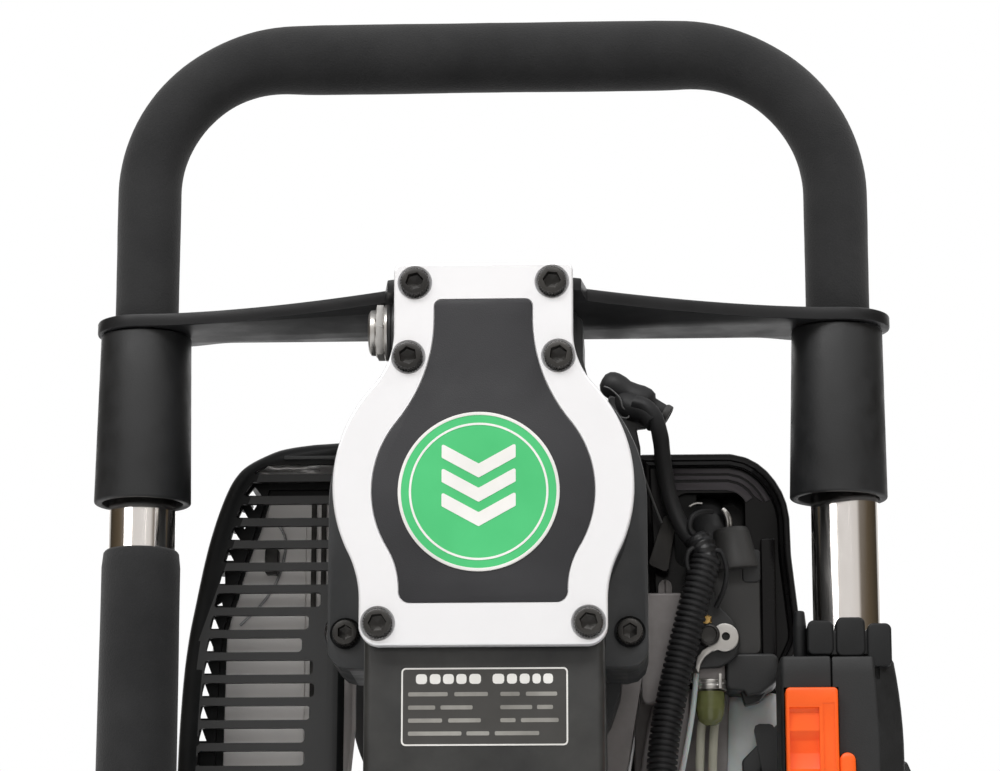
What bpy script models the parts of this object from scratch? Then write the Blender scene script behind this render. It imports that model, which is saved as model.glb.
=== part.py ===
"""Petrol post driver: a two-handed hammer that drives fence posts.

A small four-stroke engine turns a crank gear through a centrifugal clutch.
The crank gear works a piston in a long barrel, the piston throws a striker
down an air cushion, and the striker hits an anvil at the top of a drive cup
that sits over the post.  The barrel, gearbox and engine hang between two
side tubes.  The tubes and the U handle above them are one frame that floats
up and down on four springs.

Axes: +X to the operator's right as seen from the front cover, +Y towards the
engine, +Z up.  The origin is the centre of the anvil's strike face, on the
hammer axis.  Lengths below are millimetres measured from the floor that the
drive cup stands on, with Y = 0 in the plane of the two side tubes.
"""
import bpy, bmesh
from math import sin, cos, pi, sqrt, atan2, radians, hypot
from mathutils import Vector, Matrix

# ---------------------------------------------------------------- dimensions
HAMMER_Y = -26.0          # hammer axis, in front of the side tubes
STRIKE_Z = 100.0          # strike face above the drive cup's rim
TUBE_X = 135.5            # side tube axis
TUBE_R = 13.0             # side tube, 26 mm outside
TUBE_BORE_R = 10.8
TUBE_Z = (178.0, 610.0)
HANDLE_R = 10.0           # U handle tube, 20 mm outside
HANDLE_BEND_R = 56.0
HANDLE_TOP_Z = 738.0     # axis of the top bar
HANDLE_END_Z = 570.0
FOAM_LEG_R = 12.5
FOAM_TOP_R = 14.25
FOAM_BORE_R = 10.4
FOAM_END_Z = 611.5
GRIP_R = 15.35            # left hand grip
GRIP_Z = (300.0, 540.0)
PLATE_Z = (625.0, 630.0)  # upper bracket
PLATE_END_R = 19.0
SLEEVE_TOP_R, SLEEVE_END_R = 17.5, 18.75
SLEEVE_WALL = 3.0
SLEEVE_Z = (558.3, 624.7)
LOWER_PLATE_Z = (230.0, 236.0)
COLLAR_R = 18.0
SPRING_R = (13.7, 17.6)
SPRING_UP_Z = (236.3, 276.0)
SPRING_LOW_Z = (190.0, 229.7)

COVER_Y = (-73.0, -68.0)  # front cover plate
COVER_TOP_Z, COVER_BOTTOM_Z = 634.3, 492.1
COVER_R, COVER_CZ = 55.0, 551.0
COVER_NECK, COVER_BASE = 33.0, 45.0
PANEL_TOP_Z, PANEL_BOTTOM_Z = 620.4, 507.8
PANEL_R, PANEL_CZ = 40.6, 549.0
PANEL_NECK, PANEL_BASE = 18.0, 30.5
COVER_SCREWS = [(25.3, 627.0), (27.6, 598.9), (38.1, 500.2)]
HOUSING_SCREW = (52.8, 502.0)
SPLIT_Y = -30.0           # joint between the two gearbox halves
BLOCK_HALF = 43.7
BLOCK_Z = 430.0
GEAR_Z = 547.0            # crank gear axis
GEAR_MODULE, GEAR_TEETH, PINION_TEETH = 1.5, 56, 11
PINION_Z = GEAR_Z - GEAR_MODULE * (GEAR_TEETH + PINION_TEETH) / 2
CRANK_THROW = 11.0
ROD_END_Z = 374.0         # small end at the bottom of the stroke

CUP_R, CUP_BORE_R, CUP_H = 57.0, 50.0, 112.0
BARREL_R, BARREL_BORE_R = 41.0, 25.4
BARREL_Z = (130.3, 429.7)

# ------------------------------------------------------------------ helpers
for o in list(bpy.data.objects):
    bpy.data.objects.remove(o, do_unlink=True)

ORIGIN = Vector((0.0, HAMMER_Y, STRIKE_Z))


def world(p):
    """Floor millimetres to the part's own frame in metres."""
    return (Vector(p) - ORIGIN) / 1000.0


MATS = {}


def material(name, colour, rough, metal=0.0):
    m = MATS.get(name)
    if not m:
        m = bpy.data.materials.new(name)
        m.use_nodes = True
        b = m.node_tree.nodes["Principled BSDF"]
        b.inputs["Base Color"].default_value = (*colour, 1)
        b.inputs["Roughness"].default_value = rough
        b.inputs["Metallic"].default_value = metal
        MATS[name] = m
    return m


FOAM = material("foam_black", (0.02, 0.02, 0.022), 0.95)
BLACK_STEEL = material("painted_black_steel", (0.025, 0.025, 0.027), 0.45, 0.2)
RUBBER = material("rubber_black", (0.015, 0.015, 0.015), 0.8)
STAINLESS = material("polished_stainless", (0.72, 0.70, 0.66), 0.12, 1.0)
ALLOY = material("brushed_aluminium", (0.82, 0.82, 0.83), 0.32, 1.0)
BLACK_CAST = material("black_cast_alloy", (0.02, 0.02, 0.022), 0.5, 0.3)
PLASTIC = material("black_plastic", (0.02, 0.02, 0.022), 0.35)
GREY_CAST = material("grey_cast_alloy", (0.35, 0.34, 0.34), 0.55, 0.8)
STEEL = material("machined_steel", (0.55, 0.55, 0.56), 0.3, 1.0)
SPRING = material("spring_steel", (0.4, 0.4, 0.42), 0.35, 1.0)
BLACK_OXIDE = material("black_oxide_steel", (0.02, 0.02, 0.02), 0.4, 0.8)
ORANGE = material("orange_plastic", (1.0, 0.12, 0.02), 0.4)
TANK = material("translucent_plastic", (0.85, 0.86, 0.84), 0.4)
BULB = material("primer_plastic", (0.6, 0.65, 0.2), 0.3)
EXHAUST = material("aluminised_steel", (0.6, 0.6, 0.6), 0.35, 1.0)

part = bpy.data.objects.new("post_driver", None)
bpy.context.collection.objects.link(part)
JOINTS = {}


def joint(name, at):
    """An empty on a joint's axis, which its moving pieces hang from."""
    e = bpy.data.objects.new(name, None)
    bpy.context.collection.objects.link(e)
    e.parent = part
    e.location = world(at)
    JOINTS[name] = (e, Vector(at))
    return name


def finish(bm, name, mat, at, on=None, smooth=35.0):
    """Turns a bmesh in floor millimetres into an object with its origin at a point."""
    bmesh.ops.remove_doubles(bm, verts=bm.verts, dist=1e-4)
    bmesh.ops.recalc_face_normals(bm, faces=bm.faces)
    at = Vector(at)
    for v in bm.verts:
        v.co = (v.co - at) / 1000.0
    me = bpy.data.meshes.new(name)
    bm.to_mesh(me)
    bm.free()
    me.shade_smooth()
    me.set_sharp_from_angle(angle=radians(smooth))
    ob = bpy.data.objects.new(name, me)
    bpy.context.collection.objects.link(ob)
    if mat:
        me.materials.append(mat)
    if on:
        e, base = JOINTS[on]
        ob.parent = e
        ob.location = (at - base) / 1000.0
    else:
        ob.parent = part
        ob.location = world(at)
    return ob


def axis_frame(axis):
    """Two directions across an axis, and the axis itself."""
    w = Vector(axis).normalized()
    u = {"x": Vector((0, 1, 0)), "y": Vector((0, 0, 1)), "z": Vector((1, 0, 0))}[
        "x" if abs(w.x) > 0.9 else "y" if abs(w.y) > 0.9 else "z"]
    v = w.cross(u).normalized()
    u = v.cross(w).normalized()
    return u, v, w


def ring_mesh(loops, closed):
    """Skins a list of equal rings of points: a ring of rings when closed, else capped at both ends."""
    bm = bmesh.new()
    rows = [[bm.verts.new(p) for p in loop] for loop in loops]
    n = len(rows[0])
    pairs = list(zip(rows, rows[1:])) + ([(rows[-1], rows[0])] if closed else [])
    for a, b in pairs:
        for i in range(n):
            j = (i + 1) % n
            bm.faces.new((a[i], a[j], b[j], b[i]))
    if not closed:
        bm.faces.new(list(reversed(rows[0])))
        bm.faces.new(rows[-1])
    return bm


def turned(name, mat, at, axis, profile, segs=24, on=None, closed=None, smooth=35.0, phase=0.0):
    """A turned piece. The profile is (radius, distance along the axis) from one end
    to the other, capped when it doesn't close on itself, or a full ring section."""
    u, v, w = axis_frame(axis)
    at = Vector(at)
    ring = closed if closed is not None else False
    loops = []
    for r, d in profile:
        pts = []
        for i in range(segs):
            a = 2 * pi * (i + phase) / segs
            rr = r(a) if callable(r) else r
            pts.append(at + w * d + u * (rr * cos(a)) + v * (rr * sin(a)))
        loops.append(pts)
    return finish(ring_mesh(loops, ring), name, mat, at, on, smooth)


def hexagon(across):
    """Radius of a hexagon by angle."""
    def r(a):
        k = (a % (pi / 3)) - pi / 6
        return across / 2 / cos(k)
    return r


def prism(name, mat, outline, axis, lo, hi, at=None, on=None, smooth=35.0, bevel=0.0):
    """An outline in the plane across an axis, run from lo to hi along it.
    Across Y the outline is (x, z), across Z it is (x, y) and across X it is (y, z)."""
    def put(a, b, t):
        return {"x": (t, a, b), "y": (a, t, b), "z": (a, b, t)}[axis]
    bm = bmesh.new()
    low = [bm.verts.new(put(a, b, lo)) for a, b in outline]
    high = [bm.verts.new(put(a, b, hi)) for a, b in outline]
    n = len(outline)
    for i in range(n):
        j = (i + 1) % n
        bm.faces.new((low[i], low[j], high[j], high[i]))
    bm.faces.new(list(reversed(low)))
    bm.faces.new(high)
    if bevel:
        rim = [e for e in bm.edges if not all(
            abs(getattr(v.co, axis) - lo) < 1e-6 for v in e.verts) and not all(
            abs(getattr(v.co, axis) - hi) < 1e-6 for v in e.verts)]
        rim = [e for e in bm.edges if e not in rim]
        bmesh.ops.bevel(bm, geom=rim, offset=bevel, segments=1, affect="EDGES")
    if at is None:
        a = sum(p[0] for p in outline) / n
        b = sum(p[1] for p in outline) / n
        at = put(a, b, (lo + hi) / 2)
    return finish(bm, name, mat, at, on, smooth)


def cut(ob, *cutters):
    """Takes the cutters' shapes out of a piece. The cutters are not part of the object."""
    for c in cutters:
        c.hide_render = True
        c.display_type = "WIRE"
        m = ob.modifiers.new("cut_" + c.name[:20], "BOOLEAN")
        m.operation = "DIFFERENCE"
        m.object = c
        m.solver = "EXACT"


def join(ob, *others):
    for c in others:
        c.hide_render = True
        c.display_type = "WIRE"
        m = ob.modifiers.new("join_" + c.name[:20], "BOOLEAN")
        m.operation = "UNION"
        m.object = c
        m.solver = "EXACT"


def cutter_rod(name, at, axis, r, lo, hi, segs=24, on=None):
    return turned(name, None, at, axis, [(r, lo), (r, hi)], segs, on)


def arc(cx, cy, r, a0, a1, n):
    """Points on an arc, in degrees, both ends included."""
    return [(cx + r * cos(radians(a0 + (a1 - a0) * i / n)),
             cy + r * sin(radians(a0 + (a1 - a0) * i / n))) for i in range(n + 1)]


def rounded(points, radii, n=4):
    """A polygon with each corner rounded."""
    out = []
    m = len(points)
    for i, p in enumerate(points):
        p = Vector(p)
        r = radii[i] if isinstance(radii, (list, tuple)) else radii
        if r <= 0:
            out.append(tuple(p))
            continue
        a = (Vector(points[i - 1]) - p).normalized()
        b = (Vector(points[(i + 1) % m]) - p).normalized()
        half = a.angle(b) / 2
        d = r / max(1e-6, abs(sin(half) / cos(half)))
        c = p + (a + b).normalized() * (r / sin(half))
        s, e = p + a * d - c, p + b * d - c
        turn = s.angle_signed(e)
        for k in range(n + 1):
            t = -turn * k / n
            out.append((c.x + s.x * cos(t) - s.y * sin(t), c.y + s.x * sin(t) + s.y * cos(t)))
    return out


def bottle(neck, base, r, cz, top, bottom, r_neck, r_base, c_top, c_bottom, n=8):
    """The bottle outline shared by cover, panel and housing: a neck and a base
    run into a disc by hollow fillets."""
    nz = cz + sqrt((r + r_neck) ** 2 - (neck + r_neck) ** 2)
    bz = cz - sqrt((r + r_base) ** 2 - (base + r_base) ** 2)
    an = atan2(nz - cz, neck + r_neck) * 180 / pi
    ab = atan2(bz - cz, base + r_base) * 180 / pi
    right = arc(base - c_bottom, bottom + c_bottom, c_bottom, -90, 0, 3)
    right += [(base + r_base + (-r_base) * cos(radians(t)), bz - (-r_base) * sin(radians(-t)) * -1)
              for t in []]
    right += [(base + r_base - r_base * cos(radians(-ab * k / 4)),
               bz + r_base * sin(radians(-ab * k / 4))) for k in range(5)]
    right += arc(0, cz, r, ab, an, n)[1:]
    right += [(neck + r_neck - r_neck * cos(radians(an * (1 - k / 4))),
               nz - r_neck * sin(radians(an * (1 - k / 4)))) for k in range(1, 5)]
    right += arc(neck - c_top, top - c_top, c_top, 0, 90, 2)
    return right + [(-x, z) for x, z in reversed(right)]


def catmull(points, per=4):
    """A smooth curve through points."""
    p = [Vector(points[0]) * 2 - Vector(points[1])] + [Vector(q) for q in points]
    p.append(p[-1] * 2 - p[-2])
    out = []
    for i in range(1, len(p) - 2):
        for k in range(per):
            t = k / per
            a, b, c, d = p[i - 1:i + 3]
            out.append(0.5 * ((2 * b) + (c - a) * t + (2 * a - 5 * b + 4 * c - d) * t * t
                              + (3 * b - 3 * c + d - a) * t ** 3))
    out.append(p[-2])
    return out


def route(points, spacing):
    """Evenly spaced points on the smooth curve through a cable's own points."""
    fine = catmull(points, 24)
    out, left = [fine[0]], spacing
    length = sum((b - a).length for a, b in zip(fine, fine[1:]))
    count = max(2, round(length / spacing))
    step, left = length / count, length / count
    for a, b in zip(fine, fine[1:]):
        d = (b - a).length
        while d >= left and len(out) < count:
            a = a + (b - a) * (left / d)
            out.append(a)
            d = (b - a).length
            left = step
        left -= d
    out.append(fine[-1])
    return out


def cable(name, mat, points, r, spacing, on=None):
    """A cable as a curve with a round section and filled ends."""
    pts = route(points, spacing)
    cu = bpy.data.curves.new(name, "CURVE")
    cu.dimensions = "3D"
    cu.bevel_depth = r / 1000.0
    cu.bevel_resolution = 2
    cu.use_fill_caps = True
    cu.resolution_u = 1
    cu.render_resolution_u = 0
    sp = cu.splines.new("POLY")
    sp.points.add(len(pts) - 1)
    for q, p in zip(sp.points, pts):
        q.co = (*((p - pts[0]) / 1000.0), 1)
    ob = bpy.data.objects.new(name, cu)
    bpy.context.collection.objects.link(ob)
    cu.materials.append(mat)
    ob.parent = part
    ob.location = world(pts[0])
    return ob


def swept(name, mat, path, radii, segs, at, on=None, bore=None):
    """A round bar or, with a bore, a thick tube along a path in the XZ plane."""
    def loops(rs):
        out = []
        for i, p in enumerate(path):
            a = path[max(0, i - 1)]
            b = path[min(len(path) - 1, i + 1)]
            t = (Vector((b[0], 0, b[1])) - Vector((a[0], 0, a[1]))).normalized()
            side = Vector((0, 1, 0))
            up = t.cross(side)
            r = rs[i] if isinstance(rs, list) else rs
            out.append([Vector((p[0], 0, p[1])) + side * (r * cos(2 * pi * k / segs))
                        + up * (r * sin(2 * pi * k / segs)) for k in range(segs)])
        return out
    if bore is None:
        return finish(ring_mesh(loops(radii), False), name, mat, at, on)
    return finish(ring_mesh(loops(radii) + list(reversed(loops(bore))), True), name, mat, at, on)


def box(name, mat, x, y, z, r=0.0, axis="z", on=None, n=3, at=None):
    """A block with rounded edges along one axis."""
    if axis == "z":
        pts, lo, hi = [(x[0], y[0]), (x[1], y[0]), (x[1], y[1]), (x[0], y[1])], z[0], z[1]
    elif axis == "y":
        pts, lo, hi = [(x[0], z[0]), (x[1], z[0]), (x[1], z[1]), (x[0], z[1])], y[0], y[1]
    else:
        pts, lo, hi = [(y[0], z[0]), (y[1], z[0]), (y[1], z[1]), (y[0], z[1])], x[0], x[1]
    return prism(name, mat, rounded(pts, r, n) if r else pts, axis, lo, hi, at=at, on=on)


def sides(fn):
    """Makes the left and the right copy of a piece."""
    return [fn("left", -1), fn("right", 1)]


# ------------------------------------------------- joints, each on its own axis
FLOAT = joint("axis_handle_float", (0, 0, 600))
TRIGGER = joint("axis_throttle_trigger", (112.5, 0, 441))
LOCKOUT = joint("axis_lockout_lever", (153.5, 0, 452))
SWITCH = joint("axis_stop_switch", (120.0, -26, 462))
BUTTON = joint("axis_lock_button", (133.4, -26, 455))
CRANK = joint("axis_crank_gear", (0, -12, GEAR_Z))
ROD = joint("axis_connecting_rod", (0, HAMMER_Y, GEAR_Z - CRANK_THROW))
PINION = joint("axis_clutch_drum", (0, -12, PINION_Z))
ROTOR = joint("axis_engine_shaft", (0, 60, PINION_Z))
PISTON = joint("axis_piston", (0, HAMMER_Y, ROD_END_Z))
STRIKER = joint("axis_striker", (0, HAMMER_Y, 238))
ANVIL = joint("axis_anvil", (0, HAMMER_Y, STRIKE_Z))
CHOKE = joint("axis_choke_lever", (105.0, 60, 474))
CARB = joint("axis_throttle_arm", (65.0, 45, 541))
CAP = joint("axis_fuel_cap", (-58.0, 122, 404))
PULL = joint("axis_starter_grip", (26.0, 154, 566))
PULLEY = joint("axis_starter_pulley", (0, 154, PINION_Z))
PRIMER = joint("axis_primer_bulb", (85.8, 52, 490))

# ---------------------------------------------------------- hammer and drive cup
H = (0, HAMMER_Y, 0)


def hammer(name, mat, profile, segs=24, on=None, closed=None):
    base = profile[0][1]
    return turned(name, mat, (0, HAMMER_Y, base), (0, 0, 1), [(r, z - base) for r, z in profile],
                  segs, on, closed)


hammer("drive_cup", BLACK_STEEL, [
    (CUP_BORE_R + 1.5, 0), (CUP_R - 1.2, 0), (CUP_R, 1.2), (CUP_R, CUP_H), (47, 130),
    (26, 130), (26, 118), (CUP_BORE_R, 118), (CUP_BORE_R, 1.5)], 28, closed=True)
hammer("anvil", STEEL, [
    (46.5, STRIKE_Z), (48.5, STRIKE_Z + 2), (48.5, 110), (25, 110), (25, 150), (31, 150),
    (31, 160), (20, 160), (20, 194), (18, 196)], 24, ANVIL)
hammer("anvil_buffer", RUBBER, [(22, 168), (32.4, 168), (32.4, 176), (22, 176)], 24, closed=True)
hammer("cylinder_barrel", BLACK_STEEL, [
    (26.2, BARREL_Z[0]), (50, BARREL_Z[0]), (50, 142), (BARREL_R, 142), (BARREL_R, 404), (52, 412),
    (52, BARREL_Z[1]), (BARREL_BORE_R, BARREL_Z[1]), (BARREL_BORE_R, 176.3), (33, 176.3),
    (33, 149.7), (26.2, 149.7)], 28, closed=True)
hammer("striker", STEEL, [(19, 204.5), (24.8, 208), (24.8, 270), (22, 274)], 24, STRIKER)
hammer("piston", GREY_CAST, [
    (24.8, 330), (24.8, 398), (20.2, 398), (20.2, 341), (2, 341), (2, 330)], 24, PISTON, True)

# ------------------------------------------------------------- gear train
def gear(name, mat, teeth, y, z, phase, on):
    """A spur gear blank between two planes of Y. A tooth is given by its width
    at the root and at the tip, with a little backlash."""
    m = GEAR_MODULE
    rp = m * teeth / 2
    wide = pi * m / 2 - 0.42
    r0, w0, r1, w1 = rp - 1.15 * m, wide + 0.95, rp + 0.86 * m, wide - 1.0
    pts = []
    for k in range(teeth):
        c = 2 * pi * (k + phase) / teeth
        for r, a in ((r0, c - w0 / 2 / r0), (r1, c - w1 / 2 / r1), (r1, c + w1 / 2 / r1), (r0, c + w0 / 2 / r0)):
            pts.append((r * sin(a), z + r * cos(a)))
    return prism(name, mat, pts, "y", *y, at=(0, y[0], z), on=on)


crank = gear("crank_gear", STEEL, GEAR_TEETH, (-18.0, -6.0), GEAR_Z, 0.5, CRANK)
join(crank, turned("add_journal", None, (0, -10, GEAR_Z - CRANK_THROW), (0, -1, 0),
                   [(9, 0), (9, 10), (6, 10), (6, 22)], 16, CRANK),
     turned("add_gear_shaft", None, (0, -8, GEAR_Z), (0, 1, 0), [(10, 0), (10, 16)], 16, CRANK))
drum = gear("clutch_drum", STEEL, PINION_TEETH, (-18.5, -5.5), PINION_Z, 0.0, PINION)
join(drum, turned("add_drum", None, (0, -8, PINION_Z), (0, 1, 0),
                  [(6, 0), (6, 22), (36, 22), (36, 42), (32.5, 42), (32.5, 25.5)], 24, PINION))
rod_plate = prism("connecting_rod", STEEL, [
    (x, z) for x, z in
    arc(0, GEAR_Z - CRANK_THROW, 11, -55, 235, 16)
    + [(-5, 430), (-4.5, 384)] + arc(0, ROD_END_Z, 7, 160, 380, 8) + [(4.5, 384), (5, 430)]],
    "y", HAMMER_Y - 5, HAMMER_Y + 5, at=(0, HAMMER_Y, GEAR_Z - CRANK_THROW), on=ROD)
cut(rod_plate, cutter_rod("cut_big_end", (0, HAMMER_Y, GEAR_Z - CRANK_THROW), (0, 1, 0), 6.4, -9, 9, 20, ROD))

# ------------------------------------------------------------- gearbox
cover_line = bottle(COVER_NECK, COVER_BASE, COVER_R, COVER_CZ, COVER_TOP_Z, COVER_BOTTOM_Z,
                    30, 40, 3, 7.5)
cover = prism("front_cover", ALLOY, cover_line, "y", *COVER_Y)
panel_line = bottle(PANEL_NECK, PANEL_BASE, PANEL_R, PANEL_CZ, PANEL_TOP_Z, PANEL_BOTTOM_Z,
                    40, 30, 4, 4)
pocket_line = bottle(PANEL_NECK + 0.4, PANEL_BASE + 0.4, PANEL_R + 0.4, PANEL_CZ, PANEL_TOP_Z + 0.4,
                     PANEL_BOTTOM_Z - 0.4, 39.6, 29.6, 4.4, 4.4)
cut(cover, prism("cut_panel_pocket", None, pocket_line, "y", COVER_Y[0] - 2, COVER_Y[0] + 1.3))
prism("cover_panel", PLASTIC, panel_line, "y", COVER_Y[0] - 0.2, COVER_Y[0] + 1.0)

screws = [(s * x, z) for x, z in COVER_SCREWS for s in (-1, 1)]
for i, (x, z) in enumerate(screws, 1):
    cut(cover, turned(f"cut_cover_screw_{i}", None, (x, COVER_Y[0], z), (0, 1, 0),
                      [(5.8, -2), (5.8, 3), (3.4, 3), (3.4, 7)], 16))
    turned(f"cover_screw_{i}", BLACK_OXIDE, (x, COVER_Y[0] + 2.7, z), (0, -1, 0),
           [(3.0, -2.2), (3.0, 0), (5.25, 0), (5.25, 5.4), (4.7, 6.0)], 12)

housing_line = bottle(32.0, 44.0, 54.0, COVER_CZ, 624.7, COVER_BOTTOM_Z, 31, 41, 3, 6)
cavity_line = bottle(26.0, 38.0, 48.0, COVER_CZ, 590.0 + 20, 503.0, 37, 47, 3, 6)
flange_line = ([(-59.7, 500)] + arc(-59.7 + 8, 489 + 8, 8, 180, 270, 3)[1:]
               + [(-BLOCK_HALF, 489), (-BLOCK_HALF, BLOCK_Z), (BLOCK_HALF, BLOCK_Z), (BLOCK_HALF, 489)]
               + arc(59.7 - 8, 489 + 8, 8, -90, 0, 3) + [(59.7, COVER_CZ)]
               + arc(0, COVER_CZ, 59.7, 0, 50, 6)[1:] + [(36, 606), (36, 621), (33, 624.7),
                                                        (-33, 624.7), (-36, 621), (-36, 606)]
               + arc(0, COVER_CZ, 59.7, 130, 180, 6))
front = prism("gearbox_front", BLACK_CAST, flange_line, "y", -37.0, SPLIT_Y - 0.3)
join(front, prism("add_nose", None, housing_line, "y", -67.7, -34.0),
     prism("add_block", None, rounded([(-BLOCK_HALF, BLOCK_Z), (BLOCK_HALF, BLOCK_Z), (BLOCK_HALF, 494),
                                       (-BLOCK_HALF, 494)], [3, 3, 0, 0], 2), "y", -66.0, -33.0))
cut(front, prism("cut_front_cavity", None, cavity_line, "y", -80, -20),
    cutter_rod("cut_front_bore", (0, HAMMER_Y, 420), (0, 0, 1), 26.5, 0, 100, 24))
for s, side in ((-1, "left"), (1, "right")):
    x, z = s * HOUSING_SCREW[0], HOUSING_SCREW[1]
    cut(front, turned(f"cut_housing_screw_{side}", None, (x, -37, z), (0, 1, 0), [(5.7, -10), (5.7, 2)], 16))
rear = prism("gearbox_rear", BLACK_CAST, flange_line, "y", SPLIT_Y, 12.0)
cut(rear, cutter_rod("cut_gear_room", (0, -40, GEAR_Z), (0, 1, 0), 46.0, 0, 38, 40),
    cutter_rod("cut_gear_shaft", (0, -10, GEAR_Z), (0, 1, 0), 10.5, 0, 19, 24),
    cutter_rod("cut_pinion_room", (0, -40, PINION_Z), (0, 1, 0), 13.0, 0, 38, 24),
    cutter_rod("cut_pinion_shaft", (0, -10, PINION_Z), (0, 1, 0), 6.6, 0, 30, 20),
    cutter_rod("cut_rear_bore", (0, HAMMER_Y, 420), (0, 0, 1), 26.5, 0, 100, 24))
join(rear, turned("add_clutch_bell", None, (0, 8, PINION_Z), (0, 1, 0),
                  [(40, 0), (50, 0), (50, 29), (40, 29)], 28, closed=True))
turned("oil_plug", STAINLESS, (-33.3, -50, 613), (-1, 0, 0),
       [(10.8, 0), (10.8, 7), (hexagon(18), 7.2), (hexagon(18), 10.6), (8.6, 10.8), (8.6, 13.2), (7.8, 14)], 24)

# ------------------------------------------------------- brackets and sleeves
def bracket_line(front_mid, front_neck, neck_x, back):
    right = [(neck_x, -front_mid), (neck_x + 2, -front_neck)]
    x0, y0, x1, y1 = neck_x + 2, -front_neck, TUBE_X - 6, -PLATE_END_R
    for k in range(1, 8):
        t = k / 7
        # a hollow curve from the neck out to the tube
        right.append((x0 + (x1 - x0) * t, y1 + (y0 - y1) * (1 - t) ** 1.6))
    right += arc(TUBE_X, 0, PLATE_END_R, -90, 90, 8)
    if back > PLATE_END_R:
        right += [(TUBE_X - 30, PLATE_END_R), (60, back), (40, back)]
    else:
        right += [(TUBE_X - 10, 17.5), (TUBE_X - 24, back), (60, back)]
    return right + [(-x, y) for x, y in reversed(right)]


upper = prism("upper_bracket", BLACK_STEEL, bracket_line(67.4, 50.4, 36.0, 11), "z", *PLATE_Z)
lower = prism("lower_bracket", BLACK_STEEL, bracket_line(78.0, 60.0, 34.0, 26), "z", *LOWER_PLATE_Z)
for side, s in (("left", -1), ("right", 1)):
    cut(upper, cutter_rod(f"cut_upper_{side}", (s * TUBE_X, 0, PLATE_Z[0]), (0, 0, 1), 14.4, -5, 12, 20))
    cut(lower, cutter_rod(f"cut_lower_{side}", (s * TUBE_X, 0, LOWER_PLATE_Z[0]), (0, 0, 1), 13.6, -5, 12, 20))
    z0, z1 = SLEEVE_Z
    turned(f"sleeve_{side}", RUBBER, (s * TUBE_X, 0, z0), (0, 0, 1),
           [(SLEEVE_END_R - SLEEVE_WALL, 0), (SLEEVE_END_R - 0.8, 0), (SLEEVE_END_R, 0.8), (SLEEVE_TOP_R, z1 - z0),
            (SLEEVE_TOP_R - SLEEVE_WALL, z1 - z0)], 24, closed=True)
cut(lower, cutter_rod("cut_lower_barrel", (0, HAMMER_Y, LOWER_PLATE_Z[0]), (0, 0, 1), BARREL_R + 0.3, -5, 12, 28))

# ---------------------------------------------------- floating handle frame
def handle_path(n):
    """Centre line of the U handle, from the left end over the top to the right end."""
    r = HANDLE_BEND_R
    zc = HANDLE_TOP_Z - r
    left = [(-TUBE_X, HANDLE_END_Z), (-TUBE_X, FOAM_END_Z), (-TUBE_X, 650)]
    left += [(-(TUBE_X - r) + r * cos(radians(180 - 90 * k / n)), zc + r * sin(radians(180 - 90 * k / n)))
             for k in range(n + 1)]
    return left + [(-x, z) for x, z in reversed(left)]


path = handle_path(6)
swept("handle_tube", STAINLESS, path, HANDLE_R, 12, (0, 0, 600), FLOAT)
foam_path = path[1:-1]
swept("handle_foam", FOAM, foam_path,
      [FOAM_LEG_R if z < 700 else FOAM_LEG_R + (FOAM_TOP_R - FOAM_LEG_R) * min(1, (z - 700) / 33)
       for x, z in foam_path], 12, (0, 0, 600), FLOAT, FOAM_BORE_R)
for side, s in (("left", -1), ("right", 1)):
    z0, z1 = TUBE_Z
    turned(f"side_tube_{side}", STAINLESS, (s * TUBE_X, 0, z0), (0, 0, 1), [
        (TUBE_BORE_R, 0), (COLLAR_R, 0), (COLLAR_R, SPRING_LOW_Z[0] - 0.3 - z0), (TUBE_R, SPRING_LOW_Z[0] - 0.3 - z0),
        (TUBE_R, SPRING_UP_Z[1] + 0.3 - z0), (COLLAR_R, SPRING_UP_Z[1] + 0.3 - z0), (COLLAR_R, 284 - z0), (TUBE_R, 284 - z0),
        (TUBE_R, z1 - z0), (TUBE_BORE_R, z1 - z0)], 20, FLOAT, True)
    for what, (a, b) in (("upper", SPRING_UP_Z), ("lower", SPRING_LOW_Z)):
        turned(f"spring_{what}_{side}", SPRING, (s * TUBE_X, 0, a), (0, 0, 1),
               [(SPRING_R[0], 0), (SPRING_R[1], 0), (SPRING_R[1], b - a), (SPRING_R[0], b - a)], 16, closed=True)
turned("grip_foam", FOAM, (-TUBE_X, 0, GRIP_Z[0]), (0, 0, 1), [
    (TUBE_R + 0.3, 0), (GRIP_R - 1, 0), (GRIP_R, 1.5), (GRIP_R, 238), (GRIP_R - 1.5, 240),
    (TUBE_R + 0.3, 240)], 20, FLOAT, True)

# ------------------------------------------------------------ throttle grip
HX = (108.6, 156.0)
HZ = (372.0, 494.5)
SEAM_X = 127.6
grip_right = rounded([(SEAM_X + 0.15, -25), (HX[1] - 2, -22), (HX[1], 20), (SEAM_X + 0.15, 30)], [0, 9, 9, 0], 3)
grip_left = rounded([(HX[0], -24), (SEAM_X - 0.15, -25), (SEAM_X - 0.15, 30), (HX[0], 24)], [2, 0, 0, 9], 3)
outer = prism("throttle_case_outer", PLASTIC, grip_right, "z", *HZ, on=FLOAT)
inner = prism("throttle_case_inner", PLASTIC, grip_left, "z", *HZ, on=FLOAT)
for name, ob in (("outer", outer), ("inner", inner)):
    cut(ob, cutter_rod(f"cut_tube_{name}", (TUBE_X, 0, HZ[0]), (0, 0, 1), TUBE_R + 0.3, -5, 130, 24, FLOAT))
cut(inner,
    box("cut_switch_inner", None, (109.8, SEAM_X + 1), (-32, -18.5), (439.5, 482.6), on=FLOAT),
    box("cut_trigger_room", None, (104, 118), (-6.5, 6.5), (374.5, 447.5), on=FLOAT))
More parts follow.
